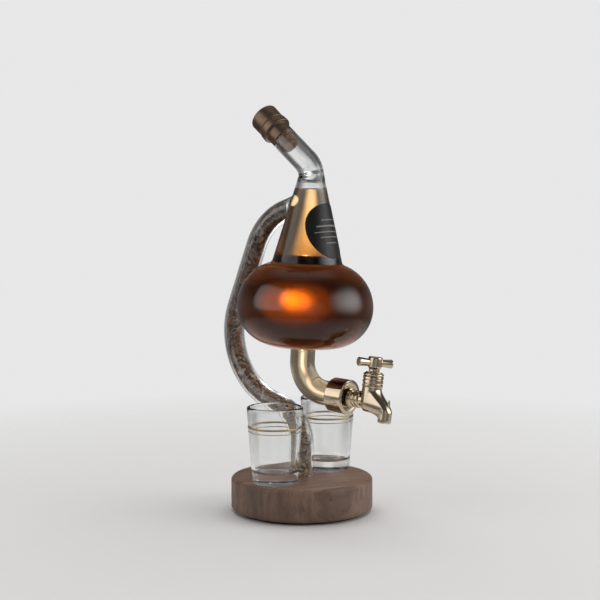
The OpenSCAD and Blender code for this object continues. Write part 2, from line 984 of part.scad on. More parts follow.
base_block();
base_pad();
support_arm();
arm_bung();
grain_fill();
decanter_bowl();
tapered_neck();
swan_neck();
outlet_elbow();
front_label();
tap_collar();
collar_seal();
tail_nut();
tap_gasket();
tap_body();
bonnet_gasket();
tap_bonnet();
gland_packing();
gland_nut();
valve_jumper();
valve_washer();
tap_spindle();
handle_hub();
handle_bar();
stopper_cap();
stopper_cork();
front_glass();
front_glass_bands();
rear_glass();
rear_glass_bands();
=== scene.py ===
"""Looks of a glass decanter with a tap, which a bent glass arm carries on a turned wooden base.

The glass, the whisky, the grain in the arm, the metal, the base, the stopper and the label are drawn here as
smooth surfaces over the CAD model. Small parts that hardly show keep their CAD shape. Sizes are in
millimetres, as in the part, and each piece is put in its place in metres.
"""
from math import ceil, cos, radians, sin, tan

import bmesh
import bpy
import numpy as np
from mathutils import Matrix, Vector


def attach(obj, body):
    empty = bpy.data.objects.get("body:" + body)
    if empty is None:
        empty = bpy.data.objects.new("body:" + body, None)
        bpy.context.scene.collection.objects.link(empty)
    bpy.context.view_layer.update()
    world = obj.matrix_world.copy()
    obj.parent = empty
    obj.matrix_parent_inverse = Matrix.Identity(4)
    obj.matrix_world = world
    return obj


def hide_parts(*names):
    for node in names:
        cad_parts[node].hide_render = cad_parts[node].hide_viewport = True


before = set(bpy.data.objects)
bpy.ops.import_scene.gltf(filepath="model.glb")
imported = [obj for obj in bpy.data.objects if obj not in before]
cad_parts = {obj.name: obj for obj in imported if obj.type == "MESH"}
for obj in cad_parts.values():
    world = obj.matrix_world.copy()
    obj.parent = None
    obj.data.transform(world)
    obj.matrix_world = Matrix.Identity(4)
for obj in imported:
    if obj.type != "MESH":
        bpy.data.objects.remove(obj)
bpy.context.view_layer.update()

# Metres in a millimetre, and points round a turned piece
MM = 0.001
TURNED_COLUMNS = 96

# Base and the pad under it
BASE_R = 54.3
BASE_TOP = 26.5
BASE_EDGE = 3.0
PAD_H = 1.5

# Arm: each step of its middle line is a straight's length, then a bend's radius and angle
ARM_X = 1.5
ARM_FOOT = 10.5
ARM_R = 8.1
ARM_BORE = 6.3
ARM_STEPS = [(39.5, 30, -73), (10, 55, 95), (51.5, 47.5, 50), (7.5, 0, 0)]
ARM_SEAM = 7.4
ARM_SEAM_GAP = 0.05
ARM_FLARE = 1.0
ARM_BORE_FLARE = -0.5
ARM_COLUMNS = 64

# Filling of the arm, with distances along the arm
GRAIN_SEED = 7
GRAIN_START = 9.6
GRAIN_END_GAP = 5.2
# Radius and columns of the core: a near-black rod of painted shade inside the filling
SHADE_CORE_R = 5.1
SHADE_CORE_COLUMNS = 24
GRAIN_CLEARANCE = 0.15
BARLEY_END = 80
BARLEY_STRAW_END = 100
HUSK_START = 74

# Bulb and tapered neck, with heights from the middle of the bulb
BULB_X = 3.0762
BULB_Z = 157.0199
BULB_R = 52.0
BULB_CROWN = 34.2
BULB_LOW = 30.0
CONE_TOP_Z = 96.0
CONE_TOP_R = 10.4
CONE_ANGLE = radians(14.7)
SHOULDER_R = 4.0
GLASS_WALL = 2.2
GLASS_COLUMNS = 128
LEAN_DEGREES = 3.5
LEAN = radians(LEAN_DEGREES)

# Bent neck with its mouth
NECK_R = 9.6
NECK_BEND = -53
NECK_STEPS = [(1, 16, NECK_BEND), (26.8, 0, 0)]
NECK_FLARE = 4.0
NECK_BEAD_H = 1.1
NECK_BEAD_AT = 3.0
NECK_BEAD_W = 2.2

# Whisky: its level, how far it reaches into the glass, the rim that climbs the wall, and where wetting ends
FILL_Z = 89.4
FILL_OVERLAP = 0.12
FILL_RIM_H = 0.9
FILL_RIM_W = 1.1
FILL_WET_GAP = 1.2

# Outlet under the bulb
OUTLET_R = 9.5
OUTLET_DROP = 11.4
OUTLET_BEND_R = 22
OUTLET_STEPS = [(OUTLET_DROP, OUTLET_BEND_R, 90), (17.5, 0, 0)]
OUTLET_FILLET = 3.0
OUTLET_BORE_FILLET = 2.2
OUTLET_BORE_START = 0.5
OUTLET_Z = -(BULB_LOW + OUTLET_DROP + OUTLET_BEND_R)

# Collar, with distances along the outlet from below the middle of the bulb
COLLAR_R = 13.15
COLLAR_BORE = 9.6
COLLAR_BACK = 31.3
COLLAR_FLOOR = 43.2
COLLAR_FACE = 46.1
COLLAR_DISH = 0.35
COLLAR_DISH_R = 9.4
COLLAR_RIM_R = 10.6

# Tap, with heights from the middle of its inlet and distances from the middle of its barrel
TAP_X = 64.9
TAP_TWIST = -6.5
INLET_R = 5.1
INLET_START = 3
INLET_LEN = 17.8
INLET_FLANGE_R = 7.0
INLET_BEAD_R = 1.5
BARREL_R = 7.3
BARREL_TOP = 18.3
BARREL_DOME_Z = -0.5
BARREL_DOME_H = 6.6
SPOUT_TOP = 10.5
SPOUT_DOME = 8.0
SPOUT_SWAY = 17
SPOUT_KNEE = -11.2
SPOUT_LOW = -14.0
SPOUT_BORE_END = -5.0
SPOUT_X = 14.05
SPOUT_R = 5.0
SPOUT_WALL = 2.5
SPUR_X = 16.4
SPUR_Z = -3
SPUR_R = 1.0
SPUR_TIP_Z = 5.4
SPUR_TIP_R = 0.8
BONNET_LOW = 18.8
BONNET_TOP = 22.0
BONNET_R = 7.7
BONNET_BORE = 4.9
SPINDLE_HOLE_R = 3.75

# Cross handle, with heights as on the tap
HUB_LOW = 22.4
HUB_TOP = 33.4
HUB_R = 5.4
HUB_FOOT_R = 4.0
BAR_Z = 28.7
BAR_ANGLE = 62
BAR_HALF = 14.0
BAR_ROOT = 3.2
BAR_TENON_R = 2.4
BAR_R = 2.7
BAR_END_R = 3.4

# Label on the tapered neck
LABEL_Z = 59.0
LABEL_R = 21.0
LABEL_FACE = 0.28
LABEL_EDGE = 0.26
LABEL_BACK = 0.06

# Rules on the label, in metres: height from its middle, half length and half thickness
LABEL_RULES = [
    (0.0085, 0.0075, 0.00030),
    (0.0040, 0.0115, 0.00055),
    (-0.0005, 0.0135, 0.00030),
    (-0.0045, 0.0100, 0.00030),
    (-0.0090, 0.0060, 0.00030),
]
LABEL_RULE_BLUR = 0.0001

# Shot glasses and their gilt bands: a band is its middle height and its width
RIM_R = 21.2
FOOT_R = 17.3
FOOT_EDGE = 1.1
FOOT_HOLLOW = 0.35
SHOT_H = 57.4
SHOT_SIDE_Z = 1
SHOT_WALL = 2.7
SHOT_FLOOR = 8.0
SHOT_WELL_R = 3
SHOT_Y = 32.7
GILT_BANDS = [(42.2, 1.4), (39.0, 0.6)]

# Stopper, with heights from the mouth
CAP_GAP = 0.06
CAP_WAIST_R = 9.5
CAP_RING_LOW = 8.8
CAP_RING_R = 11.8
CAP_GROOVE_Z = 15.4
CAP_TOP_R = 11.25
CAP_TOP = 27.76
CORK_CLEARANCE = 0.08
CORK_LEN = 9
CORK_TAIL_R = 4.4
CORK_TAIL = 5


# Surfaces

def move(x, y, z):
    """Place moved along the three axes."""
    return Matrix.Translation((x, y, z))


def turn(degrees, axis):
    """Place turned about one of its axes."""
    return Matrix.Rotation(radians(degrees), 4, axis)


def arc(x, z, radius, start, end, count):
    """Points on a round: middle plus radius times the cosine and sine of an even run of angles in degrees."""
    angle = np.radians(np.linspace(start, end, count))
    return np.stack([x + radius * np.cos(angle), z + radius * np.sin(angle)], 1)


def outline(*parts):
    """A turned piece's side as one list of (radius, height)."""
    return np.vstack([np.atleast_2d(np.asarray(p, float)) for p in parts])


def ease(t):
    """Runs from 0 to 1 without a corner: three times t squared less twice t cubed."""
    t = np.clip(t, 0, 1)
    return t * t * (3 - 2 * t)


def follow(steps, gap):
    """Middle line of a bent tube as (x, z, heading), from upright towards +X, with points about a gap apart.

    A straight goes on along the heading. A bend goes round a middle that lies its radius to the side.
    """
    x = z = heading = 0.0
    parts = []
    for length, radius, bend in steps:
        along = np.linspace(0, length, max(2, ceil(length / gap) + 1))
        parts.append(np.stack([x + along * sin(heading), z + along * cos(heading), along * 0 + heading], 1))
        x, z = parts[-1][-1, :2]
        if bend:
            count = ceil(radius * abs(radians(bend)) / gap) + 1
            angle = heading + np.linspace(0, radians(bend), count)
            side = np.sign(bend) * radius
            parts.append(np.stack([
                x + side * (cos(heading) - np.cos(angle)),
                z + side * (np.sin(angle) - sin(heading)), angle], 1))
            x, z, heading = parts[-1][-1]
    path = np.vstack(parts)
    step = np.hypot(*np.diff(path[:, :2], axis=0).T)
    return path[np.r_[True, step > 1e-6]]


def travel(path):
    """Distance along a middle line at each of its points."""
    return np.r_[0, np.cumsum(np.hypot(*np.diff(path[:, :2], axis=0).T))]


def rings(x, z, tilt, radius, columns):
    """Rows of circles: middle (x, z) in the XZ plane, turned by tilt about Y, each with its own radius."""
    same_length = np.broadcast_arrays(*map(np.atleast_1d, (x, z, tilt, radius)))
    x, z, tilt, radius = (a[:, None] for a in same_length)
    angle = np.linspace(0, 2 * np.pi, columns, endpoint=False)
    across = radius * np.cos(angle)
    return np.stack([x + across * np.cos(tilt), radius * np.sin(angle), z - across * np.sin(tilt)], -1)


def turned(side, columns=TURNED_COLUMNS):
    """Turned piece: each (radius, height) of its side goes round the Z axis."""
    return rings(0.0, side[:, 1], 0.0, side[:, 0], columns)


def placed(points, matrix):
    """Points in millimetres, put in place in metres."""
    m = np.array(matrix)
    return (points @ m[:3, :3].T + m[:3, 3]) * MM


def ring_faces(rows, columns, loop, start=0):
    """Four-sided faces between neighbouring rows of rings, and from the last row to the first for a loop."""
    index = start + np.arange(rows * columns).reshape(rows, columns)
    low, high = (index, np.roll(index, -1, 0)) if loop else (index[:-1], index[1:])
    return np.stack([low, np.roll(low, -1, 1), np.roll(high, -1, 1), high], -1).reshape(-1, 4)


def face_outwards(mesh, merge):
    """Turns all faces outwards, after points that fall together are merged if asked for."""
    work = bmesh.new()
    work.from_mesh(mesh)
    if merge:
        bmesh.ops.remove_doubles(work, verts=work.verts, dist=1e-7)
    bmesh.ops.recalc_face_normals(work, faces=work.faces)
    work.to_mesh(mesh)
    work.free()


def piece(name, grids, look, body="decanter", nodes=(), loop=False, sharp=32):
    """Object from one or more grids of rings. Rings of no size become poles."""
    points, faces, start = [], [], 0
    for grid in grids:
        points.append(grid.reshape(-1, 3))
        faces.append(ring_faces(*grid.shape[:2], loop, start))
        start += len(points[-1])
    mesh = bpy.data.meshes.new(name)
    mesh.from_pydata(np.vstack(points).tolist(), [], np.vstack(faces).tolist())
    face_outwards(mesh, merge=True)
    return finish_piece(mesh, look, body, nodes, sharp)


def finish_piece(mesh, look, body, nodes, sharp):
    """Object from a mesh, smooth up to the sharp angle, with its finish, body and CAD nodes."""
    mesh.polygons.foreach_set("use_smooth", np.ones(len(mesh.polygons), bool))
    mesh.set_sharp_from_angle(angle=radians(sharp))
    mesh.materials.append(look)
    made = bpy.data.objects.new(mesh.name, mesh)
    bpy.context.scene.collection.objects.link(made)
    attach(made, body)
    if nodes:
        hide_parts(*nodes)
    return made


# Looks

def node(tree, kind, inputs=None, **settings):
    """One shader node with its settings and inputs."""
    made = tree.nodes.new(kind)
    for key, value in settings.items():
        setattr(made, key, value)
    set_inputs(tree, made, inputs or {})
    return made


def set_inputs(tree, made, inputs):
    """Sets named or numbered inputs of a node to values, or links them."""
    for key, value in inputs.items():
        if isinstance(value, bpy.types.NodeSocket):
            tree.links.new(value, made.inputs[key])
        else:
            made.inputs[key].default_value = value


def calc(tree, operation, a, b=0.0, c=0.0):
    """One step of arithmetic on up to three values."""
    return node(tree, "ShaderNodeMath", {0: a, 1: b, 2: c}, operation=operation).outputs[0]


def noise(tree, inputs):
    """Cloudy value between 0 and 1."""
    return node(tree, "ShaderNodeTexNoise", inputs).outputs["Fac"]


def bumped(tree, height, strength, distance, **more):
    """Normal that a height bends."""
    inputs = {"Height": height, "Strength": strength, "Distance": distance}
    return node(tree, "ShaderNodeBump", inputs | more).outputs[0]


def mapped(tree, vector, kind="POINT", **inputs):
    """Vector moved, turned and scaled by a mapping node."""
    return node(tree, "ShaderNodeMapping", {"Vector": vector} | inputs, vector_type=kind).outputs[0]


def blend(tree, share, a, b):
    """Colour a at share 0 and b at share 1."""
    return node(tree, "ShaderNodeMix", {0: share, 6: a, 7: b}, data_type="RGBA").outputs[2]


def ramp(tree, value, *stops):
    """Value turned into a colour by (place, colour) stops."""
    made = node(tree, "ShaderNodeValToRGB", {0: value})
    band = made.color_ramp
    while len(band.elements) < len(stops):
        band.elements.new(0.5)
    for element, (place, colour) in zip(band.elements, stops):
        element.position = place
        element.color = (*colour, 1)
    return made.outputs[0]


def level(tree, value, low, high, to_low=0.0, to_high=1.0):
    """Value run from low to high, carried over to a run between two other values."""
    return node(tree, "ShaderNodeMapRange", {0: value, 1: low, 2: high, 3: to_low, 4: to_high}).outputs[0]


def object_place(tree):
    """Point on the piece, in metres."""
    return node(tree, "ShaderNodeTexCoord").outputs["Object"]


def new_look(name):
    """New material, with its nodes and its surface."""
    look = bpy.data.materials.new(name)
    look.use_nodes = True
    tree = look.node_tree
    return look, tree, tree.nodes["Principled BSDF"]


def new_group(name, outputs):
    """Empty node group with one input, Size, and named outputs. Gives the group and its Size."""
    group = bpy.data.node_groups.new(name, "ShaderNodeTree")
    group.interface.new_socket(name="Size", in_out="INPUT", socket_type="NodeSocketFloat")
    for output, kind in outputs:
        group.interface.new_socket(name=output, in_out="OUTPUT", socket_type=kind)
    return group, group.nodes.new("NodeGroupInput").outputs["Size"]


def make_mottle():
    """Shared node group: cloudy unevenness, fine specks and a bump, in the piece's own metres."""
    group, size = new_group("mottle", (
        ("Cloud", "NodeSocketFloat"), ("Speck", "NodeSocketFloat"), ("Normal", "NodeSocketVector")))
    place = object_place(group)
    cloud = noise(group, {"Vector": place, "Scale": size, "Detail": 5.0})
    speck = noise(group, {"Vector": place, "Scale": calc(group, "MULTIPLY", size, 14.0), "Detail": 3.0})
    bump = bumped(group, speck, 0.12, 0.0002)
    node(group, "NodeGroupOutput", {"Cloud": cloud, "Speck": speck, "Normal": bump})
    return group


def make_blown_wave():
    """Shared node group: the slow unevenness of blown and pressed glass, as a faint bump."""
    group, size = new_group("blown_wave", (("Normal", "NodeSocketVector"),))
    wave = noise(group, {"Vector": object_place(group), "Scale": size, "Detail": 1.0})
    node(group, "NodeGroupOutput", {"Normal": bumped(group, wave, 0.3, 0.001)})
    return group


MOTTLE = make_mottle()
BLOWN_WAVE = make_blown_wave()


def shared(tree, group, size):
    """Outputs of a shared node group, placed in a look with its own size."""
    return node(tree, "ShaderNodeGroup", {"Size": size}, node_tree=group).outputs


def metal(name, dark, light, rough, spread=0.06):
    """Polished or satin metal: tone and roughness drift a little with the cloud, as after handling."""
    look, tree, surface = new_look(name)
    cloud = shared(tree, MOTTLE, 60)["Cloud"]
    set_inputs(tree, surface, {
        "Base Color": blend(tree, level(tree, cloud, 0.3, 0.7), (*dark, 1), (*light, 1)),
        "Metallic": 1.0,
        "Roughness": level(tree, cloud, 0.3, 0.7, rough - spread / 2, rough + spread / 2)})
    return look


def plain(name, dark, light, rough, size=120):
    """Rubber, fibre or felt: a speckled mix of two near colours with a fine bump."""
    look, tree, surface = new_look(name)
    mottle = shared(tree, MOTTLE, size)
    set_inputs(tree, surface, {
        "Base Color": blend(tree, level(tree, mottle["Speck"], 0.35, 0.65), (*dark, 1), (*light, 1)),
        "Roughness": level(tree, mottle["Cloud"], 0.3, 0.7, rough - 0.06, rough + 0.06),
        "Normal": mottle["Normal"]})
    return look


def glass_look(name, tint, gleam=(1, 1, 1)):
    """Clear glass. Where whisky wets it the two bend light alike, so that wall's gleam is left out."""
    look, tree, surface = new_look(name)
    set_inputs(tree, surface, {
        "Base Color": (*tint, 1), "Roughness": 0.0, "IOR": 1.5, "Transmission Weight": 1.0,
        "Metallic": 0.0, "Specular Tint": (*gleam, 1), "Normal": shared(tree, BLOWN_WAVE, 42.0)["Normal"]})
    return look


def whisky_look():
    """Whisky: clear, with an amber that deepens along the light's way through it."""
    look, tree, surface = new_look("whisky")
    set_inputs(tree, surface, {
        "Base Color": (1, 1, 1, 1), "Roughness": 0.0, "IOR": 1.36, "Transmission Weight": 1.0,
        "Metallic": 0.0, "Specular Tint": (0, 0, 0, 1)})
    amber = node(tree, "ShaderNodeVolumeAbsorption", {"Color": (0.745, 0.505, 0.100, 1), "Density": 80.0})
    tree.links.new(amber.outputs[0], tree.nodes["Material Output"].inputs["Volume"])
    return look


def walnut_look():
    """Oiled walnut: plank grain along one level way, with drawn-out pores."""
    look, tree, surface = new_look("walnut")
    lie = mapped(tree, object_place(tree), Rotation=(0.05, 0.04, radians(-66)))
    drawn = mapped(tree, lie, Scale=(0.07, 1.0, 0.16))
    hair = mapped(tree, lie, Scale=(0.04, 1.0, 0.08))
    broad = noise(tree, {"Vector": drawn, "Scale": 70.0, "Detail": 4.0, "Distortion": 0.35})
    fine = noise(tree, {"Vector": drawn, "Scale": 480.0, "Detail": 6.0, "Roughness": 0.65})
    pits = level(tree, noise(tree, {"Vector": hair, "Scale": 1500.0, "Detail": 2.0}), 0.60, 0.72)
    ground = ramp(tree, broad, (0.30, (0.098, 0.055, 0.036)), (0.50, (0.185, 0.108, 0.072)),
                  (0.72, (0.275, 0.168, 0.114)))
    streak = blend(tree, level(tree, fine, 0.42, 0.60, 0.0, 0.55), ground, (0.088, 0.050, 0.034, 1))
    height = calc(tree, "SUBTRACT", calc(tree, "MULTIPLY", fine, 0.4), pits)
    set_inputs(tree, surface, {
        "Base Color": blend(tree, calc(tree, "MULTIPLY", pits, 0.6), streak, (0.045, 0.029, 0.022, 1)),
        "Roughness": level(tree, fine, 0.3, 0.7, 0.42, 0.60),
        "Normal": bumped(tree, height, 0.25, 0.0003)})
    return look


def cork_look():
    """Cork: brown clouds with small darker cells."""
    look, tree, surface = new_look("cork")
    cells = node(tree, "ShaderNodeTexVoronoi", {"Vector": object_place(tree), "Scale": 900.0})
    cells = cells.outputs["Distance"]
    mottle = shared(tree, MOTTLE, 260)
    ground = ramp(tree, mottle["Cloud"], (0.30, (0.10, 0.048, 0.026)), (0.52, (0.20, 0.105, 0.060)),
                  (0.74, (0.30, 0.175, 0.105)))
    set_inputs(tree, surface, {
        "Base Color": blend(tree, level(tree, cells, 0.45, 0.75, 0.0, 0.7), ground, (0.10, 0.045, 0.022, 1)),
        "Roughness": 0.75,
        "Normal": bumped(tree, cells, 0.3, 0.0003, Normal=mottle["Normal"])})
    return look


def grain_look():
    """Grain, husks and straw: the tone of each bit, with darker clouds."""
    look, tree, surface = new_look("grain")
    tone = node(tree, "ShaderNodeAttribute", attribute_name="tone").outputs["Color"]
    mottle = shared(tree, MOTTLE, 500)
    shaded = level(tree, mottle["Cloud"], 0.35, 0.7, 0.0, 0.35)
    set_inputs(tree, surface, {
        "Base Color": blend(tree, shaded, tone, (0.05, 0.035, 0.025, 1)),
        "Roughness": 0.62,
        "Normal": mottle["Normal"]})
    return look


def label_look(centre):
    """Black paper with a few plain pale rules of uneven length, each a band in height cut off sideways."""
    look, tree, surface = new_look("label_black")
    flat = mapped(tree, object_place(tree), "TEXTURE",
                  Location=tuple(centre), Rotation=(0, LEAN - CONE_ANGLE, 0))
    way = node(tree, "ShaderNodeSeparateXYZ", {0: flat}).outputs
    aside = calc(tree, "ABSOLUTE", way[1])
    line = 0.0
    for up, half, thick in LABEL_RULES:
        off = calc(tree, "ABSOLUTE", calc(tree, "SUBTRACT", way[2], up))
        near = level(tree, off, thick, thick + LABEL_RULE_BLUR, 1.0, 0.0)
        short = level(tree, aside, half, half + LABEL_RULE_BLUR, 1.0, 0.0)
        line = calc(tree, "MAXIMUM", calc(tree, "MULTIPLY", near, short), line)
    mottle = shared(tree, MOTTLE, 200)
    paper = blend(tree, mottle["Speck"], (0.006, 0.006, 0.006, 1), (0.016, 0.015, 0.014, 1))
    set_inputs(tree, surface, {
        "Base Color": blend(tree, calc(tree, "MULTIPLY", line, 0.8), paper, (0.32, 0.30, 0.27, 1)),
        "Roughness": level(tree, mottle["Cloud"], 0.3, 0.7, 0.34, 0.46),
        "Specular IOR Level": 0.3,
        "Normal": mottle["Normal"]})
    return look


def bronze_look(axis_point, axis_turn):
    """Satin bronze lacquer on a turned cap: fine tool rings run round its axis."""
    look, tree, surface = new_look("bronze_lacquer")
    along = mapped(tree, object_place(tree), "TEXTURE", Location=axis_point, Rotation=axis_turn)
    thin = mapped(tree, along, Scale=(0.06, 0.06, 1.0))
    tool = noise(tree, {"Vector": thin, "Scale": 2600.0, "Detail": 3.0})
    tone = level(tree, shared(tree, MOTTLE, 90)["Cloud"], 0.3, 0.7)
    warm = blend(tree, tone, (0.175, 0.116, 0.078, 1), (0.265, 0.182, 0.124, 1))
    set_inputs(tree, surface, {
        "Base Color": blend(tree, level(tree, tool, 0.4, 0.65, 0.0, 0.25), warm, (0.120, 0.076, 0.050, 1)),
        "Metallic": 0.85,
        "Roughness": level(tree, tool, 0.3, 0.7, 0.32, 0.46),
        "Normal": bumped(tree, tool, 0.10, 0.0002)})
    return look


# Places of the parts

VESSEL = move(BULB_X, 0, BULB_Z) @ turn(LEAN_DEGREES, "Y")
OUTLET = VESSEL @ move(0, 0, OUTLET_Z) @ turn(90, "Y")
TAP = VESSEL @ move(TAP_X, 0, OUTLET_Z) @ turn(TAP_TWIST, "X")
NECK_PATH = follow(NECK_STEPS, gap=0.5)
MOUTH = VESSEL @ move(NECK_PATH[-1, 0], 0, CONE_TOP_Z + NECK_PATH[-1, 1]) @ turn(NECK_BEND, "Y")


# Glass vessel and whisky

def cone_radius(z):
    """Outer radius of the tapered neck: its top radius plus the way down times the slope."""
    return CONE_TOP_R + (CONE_TOP_Z - z) * tan(CONE_ANGLE)


def vessel_side(inwards):
    """Side of the bulb and its tapered neck from the bottom upwards, moved inwards.

    Two big rounds, one below and one above the bulb's widest place, then a small hollow round that touches
    the upper one and the cone, then the cone's straight.
    """
    out = np.array([cos(CONE_ANGLE), sin(CONE_ANGLE)])
    up = np.array([-sin(CONE_ANGLE), cos(CONE_ANGLE)])
    reach = out @ [CONE_TOP_R, CONE_TOP_Z] + SHOULDER_R
    core = BULB_R - BULB_CROWN
    along = np.sqrt((BULB_CROWN + SHOULDER_R) ** 2 - (reach - out[0] * core) ** 2)
    hollow = reach * out + (up[0] * core + along) * up
    angle = np.degrees(np.arctan2(hollow[1], hollow[0] - core))
    top = CONE_TOP_R - inwards / cos(CONE_ANGLE)
    straight = np.linspace(0, 1, 24)[1:, None]
    low = arc(BULB_R - BULB_LOW, 0, BULB_LOW - inwards, -90, 0, 40)
    crown = arc(core, 0, BULB_CROWN - inwards, 0, angle, 36)[1:]
    bend = arc(*hollow, SHOULDER_R + inwards, 180 + angle, 180 + np.degrees(CONE_ANGLE), 14)[1:]
    return np.vstack([low, crown, bend, bend[-1] + straight * (np.array([top, CONE_TOP_Z]) - bend[-1])])


def outlet_rows(radius, start):
    """Rows of the outlet as middle, tilt and radius, from a distance below the bulb's bottom."""
    path = follow(OUTLET_STEPS, gap=0.9)
    path = path[travel(path) >= start]
    return np.stack([path[:, 0], -BULB_LOW - path[:, 1], -path[:, 2], path[:, 0] * 0 + radius], 1)


def side_rows(side):
    """Rows as middle, tilt and radius, for a side that is turned about the vessel's own axis."""
    return np.stack([side[:, 0] * 0, side[:, 1], side[:, 0] * 0, side[:, 0]], 1)


def lip_rows(path, outer, inner):
    """Rounded rim at a tube's end: a half round from the outer to the inner wall, along the end's own way."""
    x, z, heading = path[-1]
    angle = np.linspace(0, np.pi, 9)[1:-1]
    half = (outer - inner) / 2
    ahead = half * np.sin(angle) - half
    return np.stack([x + ahead * sin(heading), z + ahead * cos(heading), angle * 0 + heading,
                     (outer + inner) / 2 + half * np.cos(angle)], 1)


def decanter_glass(look, wet_look):
    """Blown glass in one: outlet, bulb and both necks outside, then over the mouth's rim and back inside.

    The bent neck starts with the cone's radius and eases into its own. Inside, a bead narrows its foot like a
    bell curve. The inside below the whisky's level has the wetted look.
    """
    bore, neck_bore = OUTLET_R - GLASS_WALL, NECK_R - GLASS_WALL
    neck = NECK_PATH + [0, CONE_TOP_Z, 0]
    rise = travel(NECK_PATH)
    keep = rise < rise[-1] - GLASS_WALL / 2
    flare = 1 - ease(rise / NECK_FLARE)
    bead = NECK_BEAD_H * np.exp(-((rise - NECK_BEAD_AT) / NECK_BEAD_W) ** 2)
    inner_top = CONE_TOP_R - GLASS_WALL / cos(CONE_ANGLE)
    neck_out = np.column_stack([neck, NECK_R + (CONE_TOP_R - NECK_R) * flare])[keep][1:]
    neck_in = np.column_stack([neck, neck_bore + (inner_top - neck_bore) * flare - bead])[keep][1:]
    fillet = arc(OUTLET_R + OUTLET_FILLET, -BULB_LOW - OUTLET_FILLET, OUTLET_FILLET, 180, 90, 7)[1:]
    bore_fillet = arc(bore + OUTLET_BORE_FILLET, -BULB_LOW, OUTLET_BORE_FILLET, 90, 180, 6)
    inside = np.vstack([
        side_rows(vessel_side(GLASS_WALL))[::-1],
        side_rows(bore_fillet),
        outlet_rows(bore, OUTLET_BORE_START)])
    rows = np.vstack([
        outlet_rows(OUTLET_R, OUTLET_FILLET)[::-1], side_rows(fillet), side_rows(vessel_side(0)),
        neck_out, lip_rows(neck, NECK_R, neck_bore), neck_in[::-1], inside])
    made = piece("decanter_glass", [placed(rings(*rows.T, GLASS_COLUMNS), VESSEL)], look,
                 nodes=("decanter_bowl", "tapered_neck", "swan_neck", "outlet_elbow"), loop=True, sharp=60)
    made.data.materials.append(wet_look)
    number = np.arange(len(rows))
    below = rows[:, 1] < FILL_Z - FILL_WET_GAP
    wet = below & (number >= len(rows) - len(inside)) & (number < len(rows) - 1)
    made.data.polygons.foreach_set("material_index", np.repeat(wet, GLASS_COLUMNS).astype(np.int32))
    return made


def whisky_fill(look):
    """Whisky: a level top whose rim climbs the wall, then the inside of the glass down to the outlet's end.

    The rim falls off from the wall inwards by an exponential. The top is kept level while the vessel leans.
    """
    bore = OUTLET_R - GLASS_WALL
    wall = vessel_side(GLASS_WALL - FILL_OVERLAP)
    edge = np.interp(FILL_Z, *wall[-20:].T[::-1])
    wall = wall[wall[:, 1] < FILL_Z]
    reach = np.linspace(0, 1, 22) ** 0.6 * edge
    top = np.stack([reach, FILL_Z - FILL_RIM_H + FILL_RIM_H * np.exp((reach - edge) / FILL_RIM_W)], 1)
    bore_fillet = arc(bore + OUTLET_BORE_FILLET, -BULB_LOW, OUTLET_BORE_FILLET - FILL_OVERLAP, 90, 180, 6)
    end = outlet_rows(bore + FILL_OVERLAP, OUTLET_BORE_START)
    cap = end[-1] * [1, 1, 1, 0]
    rows = np.vstack([side_rows(top), side_rows(wall[::-1]), side_rows(bore_fillet), end, cap])
    grid = rings(*rows.T, GLASS_COLUMNS)
    grid[:len(top), :, 2] += grid[:len(top), :, 0] * tan(LEAN)
    return piece("whisky", [placed(grid, VESSEL)], look, sharp=60)


# Arm and its filling

def arm_path():
    """Middle line of the arm, from its foot in the base."""
    return follow(ARM_STEPS, gap=1.4) + [ARM_X, ARM_FOOT, 0]


def to_cone(points, way):
    """Distance of points from the tapered neck along a way: the nearer root of the cone's equation."""
    back = np.array(VESSEL.inverted())
    p = points @ back[:3, :3].T + back[:3, 3]
    d = way @ back[:3, :3].T
    slope = tan(CONE_ANGLE)
    reach = cone_radius(p[:, 2]) + ARM_SEAM_GAP
    a = d[0] ** 2 + d[1] ** 2 - (slope * d[2]) ** 2
    b = p[:, 0] * d[0] + p[:, 1] * d[1] + reach * slope * d[2]
    c = p[:, 0] ** 2 + p[:, 1] ** 2 - reach ** 2
    return (-b - np.sqrt(b * b - a * c)) / a


def arm_wall(radius, flare):
    """One wall of the arm: rings along its path, then rings that stretch to the tapered neck.

    Each stretched ring goes a share of the way to the cone, and widens by the flare times the share's fifth
    power.
    """
    path = arm_path()
    far = travel(path)
    start = np.flatnonzero(far <= far[-1] - ARM_SEAM)[-1]
    way = np.array([sin(path[-1, 2]), 0, cos(path[-1, 2])])
    rows = [rings(*path[:start + 1].T, radius, ARM_COLUMNS)]
    for share in (0.2, 0.4, 0.6, 0.75, 0.87, 0.95, 1.0):
        wide = rings(*path[start], radius + flare * share ** 5, ARM_COLUMNS)
        rows.append(wide + (to_cone(wide[0], way) * share)[None, :, None] * way)
    return np.concatenate(rows)


def support_arm(look):
    """Bent glass tube: outer wall up to the tapered neck, then the inner wall back down to the foot."""
    grid = np.concatenate([arm_wall(ARM_R, ARM_FLARE), arm_wall(ARM_BORE, ARM_BORE_FLARE)[::-1]])
    return piece("support_arm_glass", [grid * MM], look, nodes=("support_arm",),
                 loop=True, sharp=60)


